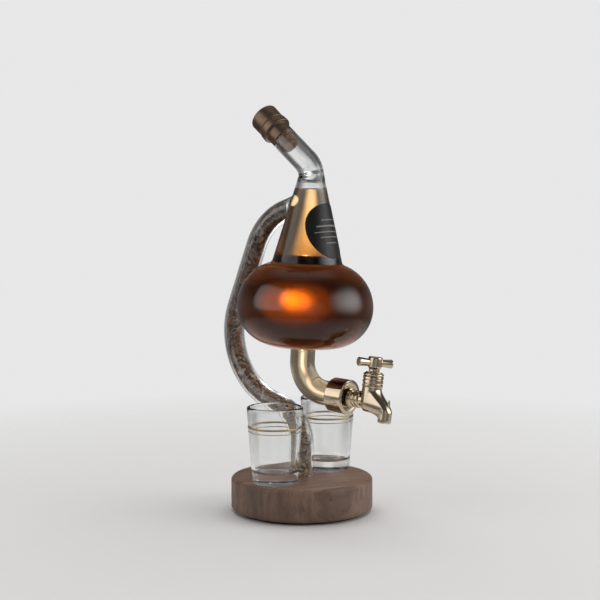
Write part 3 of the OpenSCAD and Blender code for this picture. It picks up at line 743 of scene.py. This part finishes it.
def scattered(rng, count, rows, columns, size, zone, tilt, blunt):
    """Small bits against the arm's inner wall, as points by bit, row and column.

    A bit is a run of rings, thinned at its ends, along a way that leans on the wall. Each of its points is
    the path's point plus shares of the path's own three directions.
    """
    path = arm_path()
    far = travel(path)
    s = rng.uniform(*zone, count)
    x, z, heading = (np.interp(s, far, path[:, k])[:, None, None] for k in range(3))
    round_at = rng.uniform(0, 2 * np.pi, count)[:, None, None]
    lay = rng.uniform(-tilt, tilt, count)[:, None, None]
    length, width, thick = (rng.uniform(*span, count)[:, None, None] for span in size)
    away = (ARM_BORE - thick / 2) * rng.uniform(0.80, 1.0, count)[:, None, None]
    run = np.linspace(-0.5, 0.5, rows)[None, :, None]
    thin = blunt + (1 - blunt) * np.sqrt(np.clip(1 - (2 * run) ** 2, 0, 1))
    angle = np.linspace(0, 2 * np.pi, columns, endpoint=False) + np.pi / columns
    along = length * run
    side = width / 2 * thin * np.cos(angle)
    lift = thick / 2 * thin * np.sin(angle)
    axial = along * np.cos(lay) - side * np.sin(lay)
    aside = along * np.sin(lay) + side * np.cos(lay)
    out = away + lift
    fit = np.minimum(1, (ARM_BORE - GRAIN_CLEARANCE) / np.hypot(out, aside))
    out, aside = out * fit, aside * fit
    p = out * np.cos(round_at) - aside * np.sin(round_at)
    q = out * np.sin(round_at) + aside * np.cos(round_at)
    return np.stack([x + axial * np.sin(heading) + p * np.cos(heading), q,
                     z + axial * np.cos(heading) - p * np.sin(heading)], -1)


def grain_fill(look):
    """Barley at the arm's foot, chopped straw and husks above, round a dark core, as one mesh.

    The core is rings along the arm's path, near-black as painted shade: it stands for the deep shade
    inside the packed filling. Each point has the tone of its bit.
    """
    rng = np.random.default_rng(GRAIN_SEED)
    path = arm_path()
    far = travel(path)
    low, high = GRAIN_START, far[-1] - GRAIN_END_GAP
    barley = np.array([[0.46, 0.27, 0.11], [0.32, 0.16, 0.06], [0.58, 0.42, 0.22], [0.16, 0.075, 0.035]])
    husk = np.array([[0.22, 0.095, 0.050], [0.34, 0.20, 0.13], [0.060, 0.028, 0.018],
                     [0.50, 0.40, 0.32], [0.14, 0.065, 0.042], [0.27, 0.110, 0.052]])
    straw = np.array([[0.52, 0.38, 0.24], [0.36, 0.20, 0.11], [0.68, 0.58, 0.46], [0.12, 0.060, 0.036]])
    upper_straw = straw * [0.75, 0.75, 0.78]
    # Count, rows and columns of a bit, spans of its length, width and thickness, zone, tilt, blunt, tones
    kinds = [
        (300, 6, 6, ((5.0, 7.5), (2.2, 3.0), (1.6, 2.2)), (low + 4, BARLEY_END), 1.4, 0.15, barley),
        (520, 4, 4, ((5.0, 10.0), (0.5, 0.9), (0.4, 0.6)), (low + 2, BARLEY_STRAW_END), 1.5, 0.8, straw),
        (1000, 5, 5, ((4.0, 8.0), (2.2, 4.2), (0.5, 1.1)), (HUSK_START, high - 3), 1.5, 0.40, husk),
        (1100, 4, 4, ((4.0, 10.0), (0.5, 1.0), (0.35, 0.6)), (HUSK_START, high - 3), 1.5, 0.8, upper_straw),
    ]
    around = SHADE_CORE_COLUMNS
    # Near-black core: painted shade for the dark depths of the packed filling, which also stops the eye
    # seeing through
    core = rings(*path[(far > low) & (far < high)].T, SHADE_CORE_R, around)
    start = len(core) * around
    points = [core.reshape(-1, 3)]
    tones = [np.full((start, 3), (0.035, 0.022, 0.016))]
    faces = ring_faces(len(core), around, False).tolist()
    faces += [list(range(around))[::-1], list(range(start - around, start))]
    for count, rows, columns, size, zone, tilt, blunt, colours in kinds:
        bits = scattered(rng, count, rows, columns, size, zone, tilt, blunt)
        shade = colours[rng.integers(0, len(colours), count)] * rng.uniform(0.55, 1.0, (count, 1))
        each = start + np.arange(count) * rows * columns
        faces += (each[:, None, None] + ring_faces(rows, columns, False)).reshape(-1, 4).tolist()
        faces += (each[:, None] + np.arange(columns)[::-1]).tolist()
        faces += (each[:, None] + (rows - 1) * columns + np.arange(columns)).tolist()
        points.append(bits.reshape(-1, 3))
        tones.append(np.repeat(shade, rows * columns, 0))
        start += count * rows * columns
    mesh = bpy.data.meshes.new("barley_and_straw")
    mesh.from_pydata((np.vstack(points) * MM).tolist(), [], faces)
    tone = mesh.attributes.new("tone", "FLOAT_COLOR", "POINT")
    colour = np.column_stack([np.vstack(tones), np.ones(start)])
    tone.data.foreach_set("color", colour.astype(np.float32).ravel())
    face_outwards(mesh, merge=False)
    return finish_piece(mesh, look, "decanter", ("grain_fill",), 50)


# Shot glasses, label and base

def shot_radius(z):
    """Outer radius of a shot glass at a height: an even run from the foot's radius to the rim's."""
    return FOOT_R + (RIM_R - FOOT_R) * (z - SHOT_SIDE_Z) / (SHOT_H - SHOT_WALL / 2 - SHOT_SIDE_Z)


def shot_glass(name, y, look, body):
    """Shot glass: outside from the foot to the rim, over the rim, then inside down to the thick floor."""
    well_z = SHOT_FLOOR + SHOT_WELL_R
    well = shot_radius(well_z) - SHOT_WALL
    height = np.linspace(0, 1, 18)[1:-1, None]
    foot = outline([0, FOOT_HOLLOW], [8, FOOT_HOLLOW], arc(FOOT_R - 3.2, 0.5, 0.5, -160, -90, 4),
                   arc(FOOT_R - FOOT_EDGE, FOOT_EDGE, FOOT_EDGE, -90, -6, 9))
    lip = arc(RIM_R - SHOT_WALL / 2, SHOT_H - SHOT_WALL / 2, SHOT_WALL / 2, 0, 180, 15)
    inner = outline(arc(well - SHOT_WELL_R, well_z, SHOT_WELL_R, 0, -90, 11), [0, SHOT_FLOOR])
    side = np.vstack([foot, foot[-1] + height * (lip[0] - foot[-1]), lip,
                      lip[-1] + height * (inner[0] - lip[-1]), inner])
    return piece(name + "_clear", [placed(turned(side), move(0, y, BASE_TOP))], look, body,
                 (name,), sharp=60)


def gilt_bands(name, y, look, body):
    """Two gilt lines round a glass: thin rings that stand a hair off its side."""
    back, edge, face, corner = 0.05, 0.15, 0.19, 0.08
    bands = []
    for middle, wide in GILT_BANDS:
        low, high = middle - wide / 2, middle + wide / 2
        r0, r1 = shot_radius(low), shot_radius(high)
        side = outline([r0 + back, low], [r0 + edge, low], [r0 + face, low + corner],
                       [r1 + face, high - corner], [r1 + edge, high], [r1 + back, high])
        bands.append(placed(turned(side), move(0, y, BASE_TOP)))
    return piece(name + "_gilt", bands, look, body, (name,), loop=True)


def front_label(look):
    """Round paper wrapped on the tapered neck, front and back.

    A flat disc's run sideways becomes an angle round the cone, and its run upwards a height.
    """
    far = np.r_[0, np.linspace(0.05, 1, 20) * LABEL_R, np.linspace(1, 0.05, 8) * LABEL_R, 0]
    lift = np.r_[np.full(20, LABEL_FACE), LABEL_EDGE, np.full(9, LABEL_BACK)]
    angle = np.linspace(0, 2 * np.pi, 120, endpoint=False)
    aside = far[:, None] * np.cos(angle)
    z = LABEL_Z + far[:, None] * np.sin(angle) * cos(CONE_ANGLE)
    r = cone_radius(z) + lift[:, None] / cos(CONE_ANGLE)
    grid = np.stack([r * np.cos(aside / r), r * np.sin(aside / r), z], -1)
    grid = placed(grid, VESSEL)
    return piece("label_paper", [grid], look, nodes=("front_label",), sharp=50)


def base_turning(look):
    """Turned base: flat bottom and top with rounded edges."""
    edge = BASE_R - BASE_EDGE
    side = outline([0, PAD_H], [edge, PAD_H], arc(edge, PAD_H + BASE_EDGE, BASE_EDGE, -90, 0, 12),
                   arc(edge, BASE_TOP - BASE_EDGE, BASE_EDGE, 0, 90, 12),
                   [BASE_R - 12, BASE_TOP], [20, BASE_TOP], [0, BASE_TOP])
    grid = placed(turned(side, 160), Matrix.Identity(4))
    return piece("base_turning", [grid], look, nodes=("base_block",))


# Tap and stopper

def collar_turning(look):
    """Collar: rounded edges outside, a dished face, and behind it the wall with the inlet's hole."""
    r, dish = COLLAR_R, COLLAR_FACE - COLLAR_DISH
    side = outline(
        [COLLAR_BORE, COLLAR_BACK + 0.3], [COLLAR_BORE + 0.3, COLLAR_BACK],
        arc(r - 0.8, COLLAR_BACK + 0.8, 0.8, -90, 0, 8), arc(r - 0.9, COLLAR_FACE - 0.9, 0.9, 0, 90, 8),
        arc(COLLAR_RIM_R, COLLAR_FACE - 0.45, 0.45, 60, 110, 5), [COLLAR_DISH_R, dish],
        [INLET_R, dish], [INLET_R, COLLAR_FLOOR], [COLLAR_BORE, COLLAR_FLOOR])
    grid = placed(turned(side, 128), OUTLET)
    return piece("collar_turning", [grid], look, nodes=("tap_collar",), loop=True)


def inlet_side():
    """Side of the tap's inlet, from inside the barrel: a plain stretch, two round beads and a flange."""
    w, flange, end = INLET_R, INLET_FLANGE_R, INLET_LEN
    return outline(
        [0, INLET_START], [w, INLET_START], [w, end - 10.2], arc(w, end - 8.4, INLET_BEAD_R, -75, 75, 12),
        arc(w, end - 5.2, INLET_BEAD_R, -75, 75, 12), [w, end - 3.4],
        arc(w + 0.8, end - 3.2, 0.8, 180, 100, 5), arc(flange - 0.4, end - 2.0, 0.4, 110, 0, 6),
        [flange, end - 0.3], [flange - 0.3, end], [0, end])


def barrel_side():
    """Side of the tap's barrel: a domed bottom, a straight, then a thicker top with two round grooves."""
    b, t = BARREL_R, BARREL_TOP
    dome = np.radians(np.linspace(0, 90, 16))
    return outline(
        np.stack([b * np.sin(dome), BARREL_DOME_Z - BARREL_DOME_H * np.cos(dome)], 1),
        [b, t - 7.7], arc(b + 0.1, t - 7.1, 0.3, -40, 0, 4), [b + 0.4, t - 5.5],
        arc(b + 0.45, t - 4.9, 0.5, 240, 120, 9), [b + 0.4, t - 4.3], [b + 0.4, t - 2.5],
        arc(b + 0.45, t - 1.9, 0.5, 240, 120, 9), [b + 0.4, t - 1.3],
        arc(b + 0.1, t - 0.3, 0.3, 0, 90, 5), [0, t])


def spout_casting():
    """Casting from the barrel to the spout, as level rows, then the spout's lip and its bore.

    Each row goes round two circles, one under the barrel and one over the spout: in every direction it takes
    the point of the circle that reaches further that way. The circle under the barrel follows a straight, a
    dome and a knee, and the one over the spout sways out from the barrel without a corner.
    """
    b = BARREL_R + 0.02
    fall = np.linspace(SPOUT_TOP, BARREL_DOME_Z, 30)
    dome = np.radians(np.linspace(0, 70, 18)[1:])
    knee = np.radians(np.linspace(0, 90, 24)[1:])
    dome_r = b * np.cos(dome) ** 0.5
    dome_z = BARREL_DOME_Z - (SPOUT_DOME + BARREL_DOME_Z) * np.sin(dome)
    knee_z = dome_z[-1] - (dome_z[-1] - SPOUT_KNEE) * (1 - np.cos(knee))
    z = np.r_[fall, dome_z, knee_z]
    under_x = np.r_[fall * 0, dome * 0, SPOUT_X * np.sin(knee)]
    under_r = np.r_[fall * 0 + b, dome_r, dome_r[-1] + (SPOUT_R - dome_r[-1]) * np.sin(knee)]
    sway = ease((SPOUT_TOP - z) / SPOUT_SWAY)
    over_x = SPOUT_X * sway
    over_r = b - 0.2 + (SPOUT_R - b + 0.2) * sway
    lip = np.linspace(0, np.pi, 11)
    lip_r = np.r_[SPOUT_R - SPOUT_WALL / 2 * (1 - np.cos(lip)), SPOUT_R - SPOUT_WALL, 0]
    lip_z = np.r_[SPOUT_LOW + 0.9 * (1 - np.sin(lip)), SPOUT_BORE_END, SPOUT_BORE_END]
    lip_x = lip_z * 0 + SPOUT_X
    rows = np.vstack([
        [z[0], 0, 0, 0, 0],
        np.stack([z, under_x, under_r, over_x, over_r], 1),
        np.stack([lip_z, lip_x, lip_r, lip_x, lip_r], 1)])
    z, under_x, under_r, over_x, over_r = (a[:, None] for a in rows.T)
    angle = np.linspace(0, 2 * np.pi, TURNED_COLUMNS, endpoint=False)
    further = over_x * np.cos(angle) + over_r > under_x * np.cos(angle) + under_r
    x, r = np.where(further, over_x, under_x), np.where(further, over_r, under_r)
    return np.stack([x + r * np.cos(angle), r * np.sin(angle), z + angle * 0], -1)


def tap_body(look):
    """Barrel, inlet and spur, turned from their sides, and the spout's casting."""
    spur_side = outline([0, 0], [SPUR_R, 0], [SPUR_R - 0.25, SPUR_TIP_Z - 0.5],
                        arc(0, SPUR_TIP_Z, SPUR_TIP_R, -10, 90, 8))
    for name, grid, place in (
            ("tap_barrel", turned(barrel_side()), TAP),
            ("tap_inlet", turned(inlet_side()), TAP @ turn(-90, "Y")),
            ("tap_spout", spout_casting(), TAP),
            ("tap_spur", turned(spur_side, 32), TAP @ move(SPUR_X, 0, SPUR_Z))):
        piece(name, [placed(grid, place)], look, nodes=("tap_body",))


def bonnet_turning(look):
    """Bonnet: a round bead, a narrower top and the spindle's hole."""
    r, low, top = BONNET_R, BONNET_LOW, BONNET_TOP
    side = outline([BONNET_BORE, low - 2], [BONNET_BORE, low], [r - 0.6, low],
                   arc(r - 1.0, low + 1.2, 1.0, -70, 75, 12), arc(r - 1.7, top - 0.5, 0.45, 10, 90, 5),
                   [SPINDLE_HOLE_R, top], [SPINDLE_HOLE_R, top - 1.5])
    return piece("bonnet_turning", [placed(turned(side), TAP)], look, nodes=("tap_bonnet",),
                 loop=True)


def handle_hub(look):
    """Hub of the cross handle, turned about the spindle: a narrow foot, a hollow round and a domed top."""
    f, r, low, top = HUB_FOOT_R, HUB_R, HUB_LOW, HUB_TOP
    side = outline([0, low], [f - 0.2, low], [f, low + 0.2], [f, low + 1.1],
                   arc(f + 0.9, low + 1.2, 0.9, 180, 130, 6), arc(r - 1.5, low + 4.0, 1.5, -45, 0, 7),
                   [r, top - 1.7], arc(r - 1.4, top - 1.55, 1.4, 0, 75, 9), [r - 2.6, top - 0.12],
                   [0, top - 0.02])
    return piece("handle_hub_turning", [placed(turned(side), TAP)], look, "handle",
                 ("handle_hub",), sharp=40)


def handle_bar(look):
    """Two half bars of the cross handle, each turned about the bar: they widen outwards to a rounded end."""
    r, h = BAR_END_R, BAR_HALF
    side = outline([0, BAR_ROOT], [BAR_TENON_R, BAR_ROOT], [BAR_TENON_R, HUB_R - 0.3], [BAR_R, HUB_R],
                   [r - 0.12, h - 1.25], arc(r - 0.8, h - 0.8, 0.8, 0, 80, 7), [r - 1.3, h - 0.12],
                   [0, h - 0.12])
    arms = [placed(turned(side, 64), TAP @ move(0, 0, BAR_Z) @ turn(BAR_ANGLE + way, "Z") @ turn(90, "Y"))
            for way in (0, 180)]
    return piece("handle_bar_turning", arms, look, "handle", ("handle_bar",), sharp=40)


def stopper_cap(look):
    """Turned cap: a plain waist, a rounded ring, a groove and a slim top with a rounded edge."""
    waist, ring, top = CAP_WAIST_R, CAP_RING_R, CAP_TOP_R
    low, groove, end = CAP_RING_LOW, CAP_GROOVE_Z, CAP_TOP
    side = outline(
        [0, CAP_GAP], [waist - 0.3, CAP_GAP], arc(waist - 0.4, 0.5, 0.4, -60, 0, 4), [waist, low - 1.0],
        arc(waist + 0.6, low - 0.8, 0.6, 180, 110, 5), [ring - 1.1, low - 0.05],
        arc(ring - 1.1, low + 1.1, 1.1, -80, 0, 7), [ring - 0.2, groove - 1.3],
        arc(ring - 0.65, groove - 1.1, 0.4, 0, 70, 5), arc(ring - 0.5, groove, 0.7, 230, 140, 7),
        arc(top - 0.6, groove + 0.9, 0.35, -60, 0, 4), [top - 0.03, end - 2.96],
        arc(top - 1.9, end - 1.9, 1.9, 0, 90, 10), [4, end], [0, end - 0.06])
    return piece("stopper_turning", [placed(turned(side, 128), MOUTH)], look, "stopper",
                 ("stopper_cap",))


def stopper_cork(look):
    """Cork below the cap: a plain plug in the mouth, with a thinner tail inside the cap."""
    r = NECK_R - GLASS_WALL - CORK_CLEARANCE
    side = outline([0, -CORK_LEN], [r - 1.0, -CORK_LEN], arc(r - 0.9, 0.9 - CORK_LEN, 0.9, -85, 0, 6),
                   [r, -4], [r, -0.1], [CORK_TAIL_R, 0], [CORK_TAIL_R, CORK_TAIL], [0, CORK_TAIL])
    return piece("cork_plug", [placed(turned(side), MOUTH)], look, "stopper", ("stopper_cork",))


# Building

GLASS_TINT = (0.985, 0.992, 0.988)
clear = glass_look("clear_glass", GLASS_TINT)
wetted = glass_look("wetted_glass", GLASS_TINT, gleam=(0, 0, 0))
gold = metal("gold_metal", (0.62, 0.50, 0.36), (0.72, 0.60, 0.45), 0.06, spread=0.04)
brass = metal("plain_brass", (0.52, 0.38, 0.18), (0.66, 0.50, 0.26), 0.28)
gilt = metal("gilt", (0.36, 0.26, 0.13), (0.50, 0.37, 0.20), 0.33)
cork = cork_look()
cap_at = placed(np.zeros(3), MOUTH)
bronze = bronze_look(tuple(cap_at), (0, radians(LEAN_DEGREES + NECK_BEND), 0))
label_at = placed(np.array([cone_radius(LABEL_Z), 0, LABEL_Z]), VESSEL)

base_turning(walnut_look())
see_through = [
    decanter_glass(clear, wetted),
    whisky_fill(whisky_look()),
    support_arm(clear),
    shot_glass("front_glass", -SHOT_Y, clear, "front_glass"),
    shot_glass("rear_glass", SHOT_Y, clear, "rear_glass"),
]
for shown in see_through:
    shown.visible_shadow = False
gilt_bands("front_glass_bands", -SHOT_Y, gilt, "front_glass")
gilt_bands("rear_glass_bands", SHOT_Y, gilt, "rear_glass")
grain_fill(grain_look())
front_label(label_look(label_at))
collar_turning(gold)
tap_body(gold)
bonnet_turning(gold)
handle_hub(gold)
handle_bar(gold)
stopper_cap(bronze)
stopper_cork(cork)

# Small parts keep their CAD shape and get a finish
felt = plain("felt", (0.012, 0.011, 0.010), (0.030, 0.028, 0.026), 0.95, 400)
pale_rubber = plain("seal_rubber", (0.62, 0.58, 0.50), (0.74, 0.70, 0.62), 0.5)
dark_rubber = plain("dark_rubber", (0.012, 0.012, 0.012), (0.030, 0.029, 0.028), 0.55)
fibre = plain("fibre", (0.055, 0.038, 0.026), (0.095, 0.066, 0.045), 0.8)
for name, look, slot in (
        ("base_pad", felt, "felt"),
        ("arm_bung", cork, "cork"),
        ("collar_seal", pale_rubber, "seal_rubber"),
        ("tail_nut", brass, "plain_brass"),
        ("tap_gasket", dark_rubber, "dark_rubber"),
        ("bonnet_gasket", fibre, "fibre"),
        ("gland_packing", dark_rubber, "dark_rubber"),
        ("gland_nut", brass, "plain_brass"),
        ("valve_jumper", brass, "plain_brass"),
        ("valve_washer", dark_rubber, "dark_rubber"),
        ("tap_spindle", brass, "plain_brass")):
    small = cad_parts[name]
    small.data.materials.clear()
    small.data.materials.append(look)


# Studio, in metres: camera, lamps, backdrop and floor

VIEW_TURN = radians(38)
VIEW_PITCH = radians(4.3)
VIEW_AWAY = 1.0
AIM_ASIDE = -0.00147
AIM_UP = 0.1617
LENS_MM = 78.7
SENSOR_MM = 36.0
BACKDROP = (0.80, 0.80, 0.80, 1)
HORIZON_SHARE = 0.17
HORIZON_FULL = 0.06
HORIZON_GONE = 0.36
STUDIO_GREY = 0.07
FLOOR_SIZE = 8.0
FLOOR_FULL = 0.14
FLOOR_GONE = 0.62

# Soft panels: way to the right, up and towards the camera, narrow and wide angle in degrees, strength
PANELS = [
    (1, 0.15, 0.05, 4, 24, 0.45),
    (-1, 0.20, 0.15, 4, 24, 0.30),
    (0.15, 0.15, 1, 2, 24, 0.25),
    (0.0, 1, -0.3, 6, 34, 0.35),
]
BACKDROP_PANEL = (0.0, -0.075, -1, 3, 14, 0.9)

right = Vector((cos(VIEW_TURN), sin(VIEW_TURN), 0))
above = Vector((0, 0, 1))
level_back = Vector((sin(VIEW_TURN), -cos(VIEW_TURN), 0))
back = level_back * cos(VIEW_PITCH) + above * sin(VIEW_PITCH)
aim = right * AIM_ASIDE + above * AIM_UP
bulb_middle = Vector((0.003, 0, 0.155))


def look_at(made, place, target):
    """Puts a camera or a lamp in its place, looking at a target."""
    made.location = place
    made.rotation_euler = (target - place).to_track_quat("-Z", "Y").to_euler()
    bpy.context.scene.collection.objects.link(made)


def add_camera():
    """Camera that looks at its aim from the view's turn and pitch."""
    lens = bpy.data.cameras.new("camera")
    lens.lens = LENS_MM
    lens.sensor_width = SENSOR_MM
    camera = bpy.data.objects.new("camera", lens)
    look_at(camera, aim + back * VIEW_AWAY, aim)
    bpy.context.scene.camera = camera


def new_lamp(name, place, target, wide, high, watts):
    """Flat rectangular lamp that looks at a target."""
    lamp = bpy.data.lights.new(name, "AREA")
    lamp.shape = "RECTANGLE"
    lamp.size = wide
    lamp.size_y = high
    lamp.energy = watts
    made = bpy.data.objects.new(name, lamp)
    look_at(made, place, target)
    return made


def soft_lamp(name, sideways, up, nearer, wide, high, watts):
    """Soft box at a place given from the view: to the right, up and towards the camera."""
    return new_lamp(name, aim + right * sideways + above * up + level_back * nearer, aim, wide, high, watts)


def back_lamp(name, behind, sideways, up, wide, high, watts):
    """Small lamp behind the bulb, which the camera sees only through glass and whisky."""
    place = bulb_middle - back * behind + right * sideways + above * up
    made = new_lamp(name, place, place + back, wide, high, watts)
    made.visible_camera = False
    return made


def soften(made, core, square, power=1.0):
    """Lets a lamp fade from its core, a share of its half size, to nothing at its rim.

    The distance from the middle is the root of a sum of powers: two is an oval, more is squarer.
    """
    made.data.use_nodes = True
    tree = made.data.node_tree
    over = node(tree, "ShaderNodeNewGeometry").outputs["Parametric"]
    away = 0.0
    for value in node(tree, "ShaderNodeSeparateXYZ", {0: over}).outputs[:2]:
        off = calc(tree, "ABSOLUTE", calc(tree, "MULTIPLY_ADD", value, 2.0, -1.0))
        away = calc(tree, "ADD", calc(tree, "POWER", off, square), away)
    away = calc(tree, "POWER", away, 1 / square)
    fade = node(tree, "ShaderNodeMapRange", {0: away, 1: 1.0, 2: core, 3: 0.0, 4: 1.0},
                interpolation_type="SMOOTHERSTEP")
    strength = calc(tree, "POWER", fade.outputs[0], power)
    tree.links.new(strength, tree.nodes["Emission"].inputs["Strength"])


def add_lamps():
    """Key, side and top light on the object, and small cards that make the glow in bulb, neck and outlet."""
    soften(soft_lamp("key_lamp", -0.95, 0.45, 0.45, 1.6, 1.3, 7.0), 0.65, 5.0)
    soften(soft_lamp("side_lamp", 1.00, 0.30, 0.20, 2.2, 1.6, 33.0), 0.0, 2.5, 1.5)
    top_lamp = soft_lamp("top_lamp", 0.05, 1.15, -0.40, 1.5, 1.1, 15.5)
    top_lamp.visible_glossy = False
    top_lamp.visible_transmission = False
    soften(back_lamp("card_lamp", 0.15, 0.0042, -0.002, 0.024, 0.038, 0.050), 0.0, 2.0, 3.6)
    soften(back_lamp("halo_card", 0.15, 0.009, 0.000, 0.054, 0.054, 0.0145), 0.0, 2.0)
    soften(back_lamp("neck_card", 0.08, 0.002, 0.054, 0.029, 0.11, 0.0195), 0.0, 3.0)
    soften(back_lamp("outlet_card", 0.08, -0.001, -0.044, 0.013, 0.040, 0.0026), 0.0, 3.0)
    soften(back_lamp("bend_card", 0.08, 0.014, -0.066, 0.040, 0.014, 0.0016), 0.3, 3.0)


def soft_panel(tree, way, sideways, up, nearer, narrow, wide, strength):
    """Soft bright part of the studio: full inside the narrow angle round its middle, gone past the wide."""
    middle = (right * sideways + above * up + level_back * nearer).normalized()
    toward = node(tree, "ShaderNodeVectorMath", {0: way, 1: tuple(middle)}, operation="DOT_PRODUCT")
    made = node(tree, "ShaderNodeMapRange", {
        0: toward.outputs["Value"], 1: cos(radians(wide)), 2: cos(radians(narrow)), 3: 0.0, 4: strength},
        interpolation_type="SMOOTHSTEP")
    return made.outputs[0]


def add_studio():
    """Grey studio with soft panels, and the pale backdrop.

    The camera sees the backdrop all round. Metal and glass see it behind the object, and weaker round the
    horizon.
    """
    world = bpy.data.worlds.new("studio")
    bpy.context.scene.world = world
    world.use_nodes = True
    tree = world.node_tree
    way = node(tree, "ShaderNodeTexCoord").outputs["Generated"]
    bright = STUDIO_GREY
    for panel in PANELS:
        bright = calc(tree, "ADD", soft_panel(tree, way, *panel), bright)
    grey = node(tree, "ShaderNodeCombineColor", {0: bright, 1: bright, 2: bright}).outputs[0]
    height = calc(tree, "ABSOLUTE", node(tree, "ShaderNodeSeparateXYZ", {0: way}).outputs["Z"])
    horizon = level(tree, height, HORIZON_FULL, HORIZON_GONE, HORIZON_SHARE, 0.0)
    behind = soft_panel(tree, way, *BACKDROP_PANEL)
    ray = node(tree, "ShaderNodeLightPath").outputs
    mirrored = calc(tree, "MAXIMUM", ray["Is Glossy Ray"], ray["Is Transmission Ray"])
    mirrored = calc(tree, "MULTIPLY", mirrored, calc(tree, "MAXIMUM", behind, horizon))
    seen = calc(tree, "MAXIMUM", ray["Is Camera Ray"], mirrored)
    tree.links.new(blend(tree, seen, grey, BACKDROP), tree.nodes["Background"].inputs["Color"])


def add_floor():
    """Plain pale floor, which fades into the backdrop away from the object."""
    bpy.ops.mesh.primitive_plane_add(size=FLOOR_SIZE, location=(0, 0, 0))
    floor = bpy.context.object
    floor.name = "floor"
    look, tree, surface = new_look("pale_floor")
    away = node(tree, "ShaderNodeVectorMath", {0: object_place(tree)}, operation="LENGTH").outputs["Value"]
    set_inputs(tree, surface, {
        "Base Color": (0.70, 0.69, 0.68, 1), "Roughness": 0.6, "Specular IOR Level": 0.25,
        "Alpha": level(tree, away, FLOOR_FULL, FLOOR_GONE, 1.0, 0.0)})
    floor.data.materials.append(look)


add_camera()
add_lamps()
add_studio()
add_floor()
bpy.context.scene.cycles.max_bounces = 32
bpy.context.scene.cycles.transmission_bounces = 32
bpy.context.scene.view_settings.view_transform = "Standard"
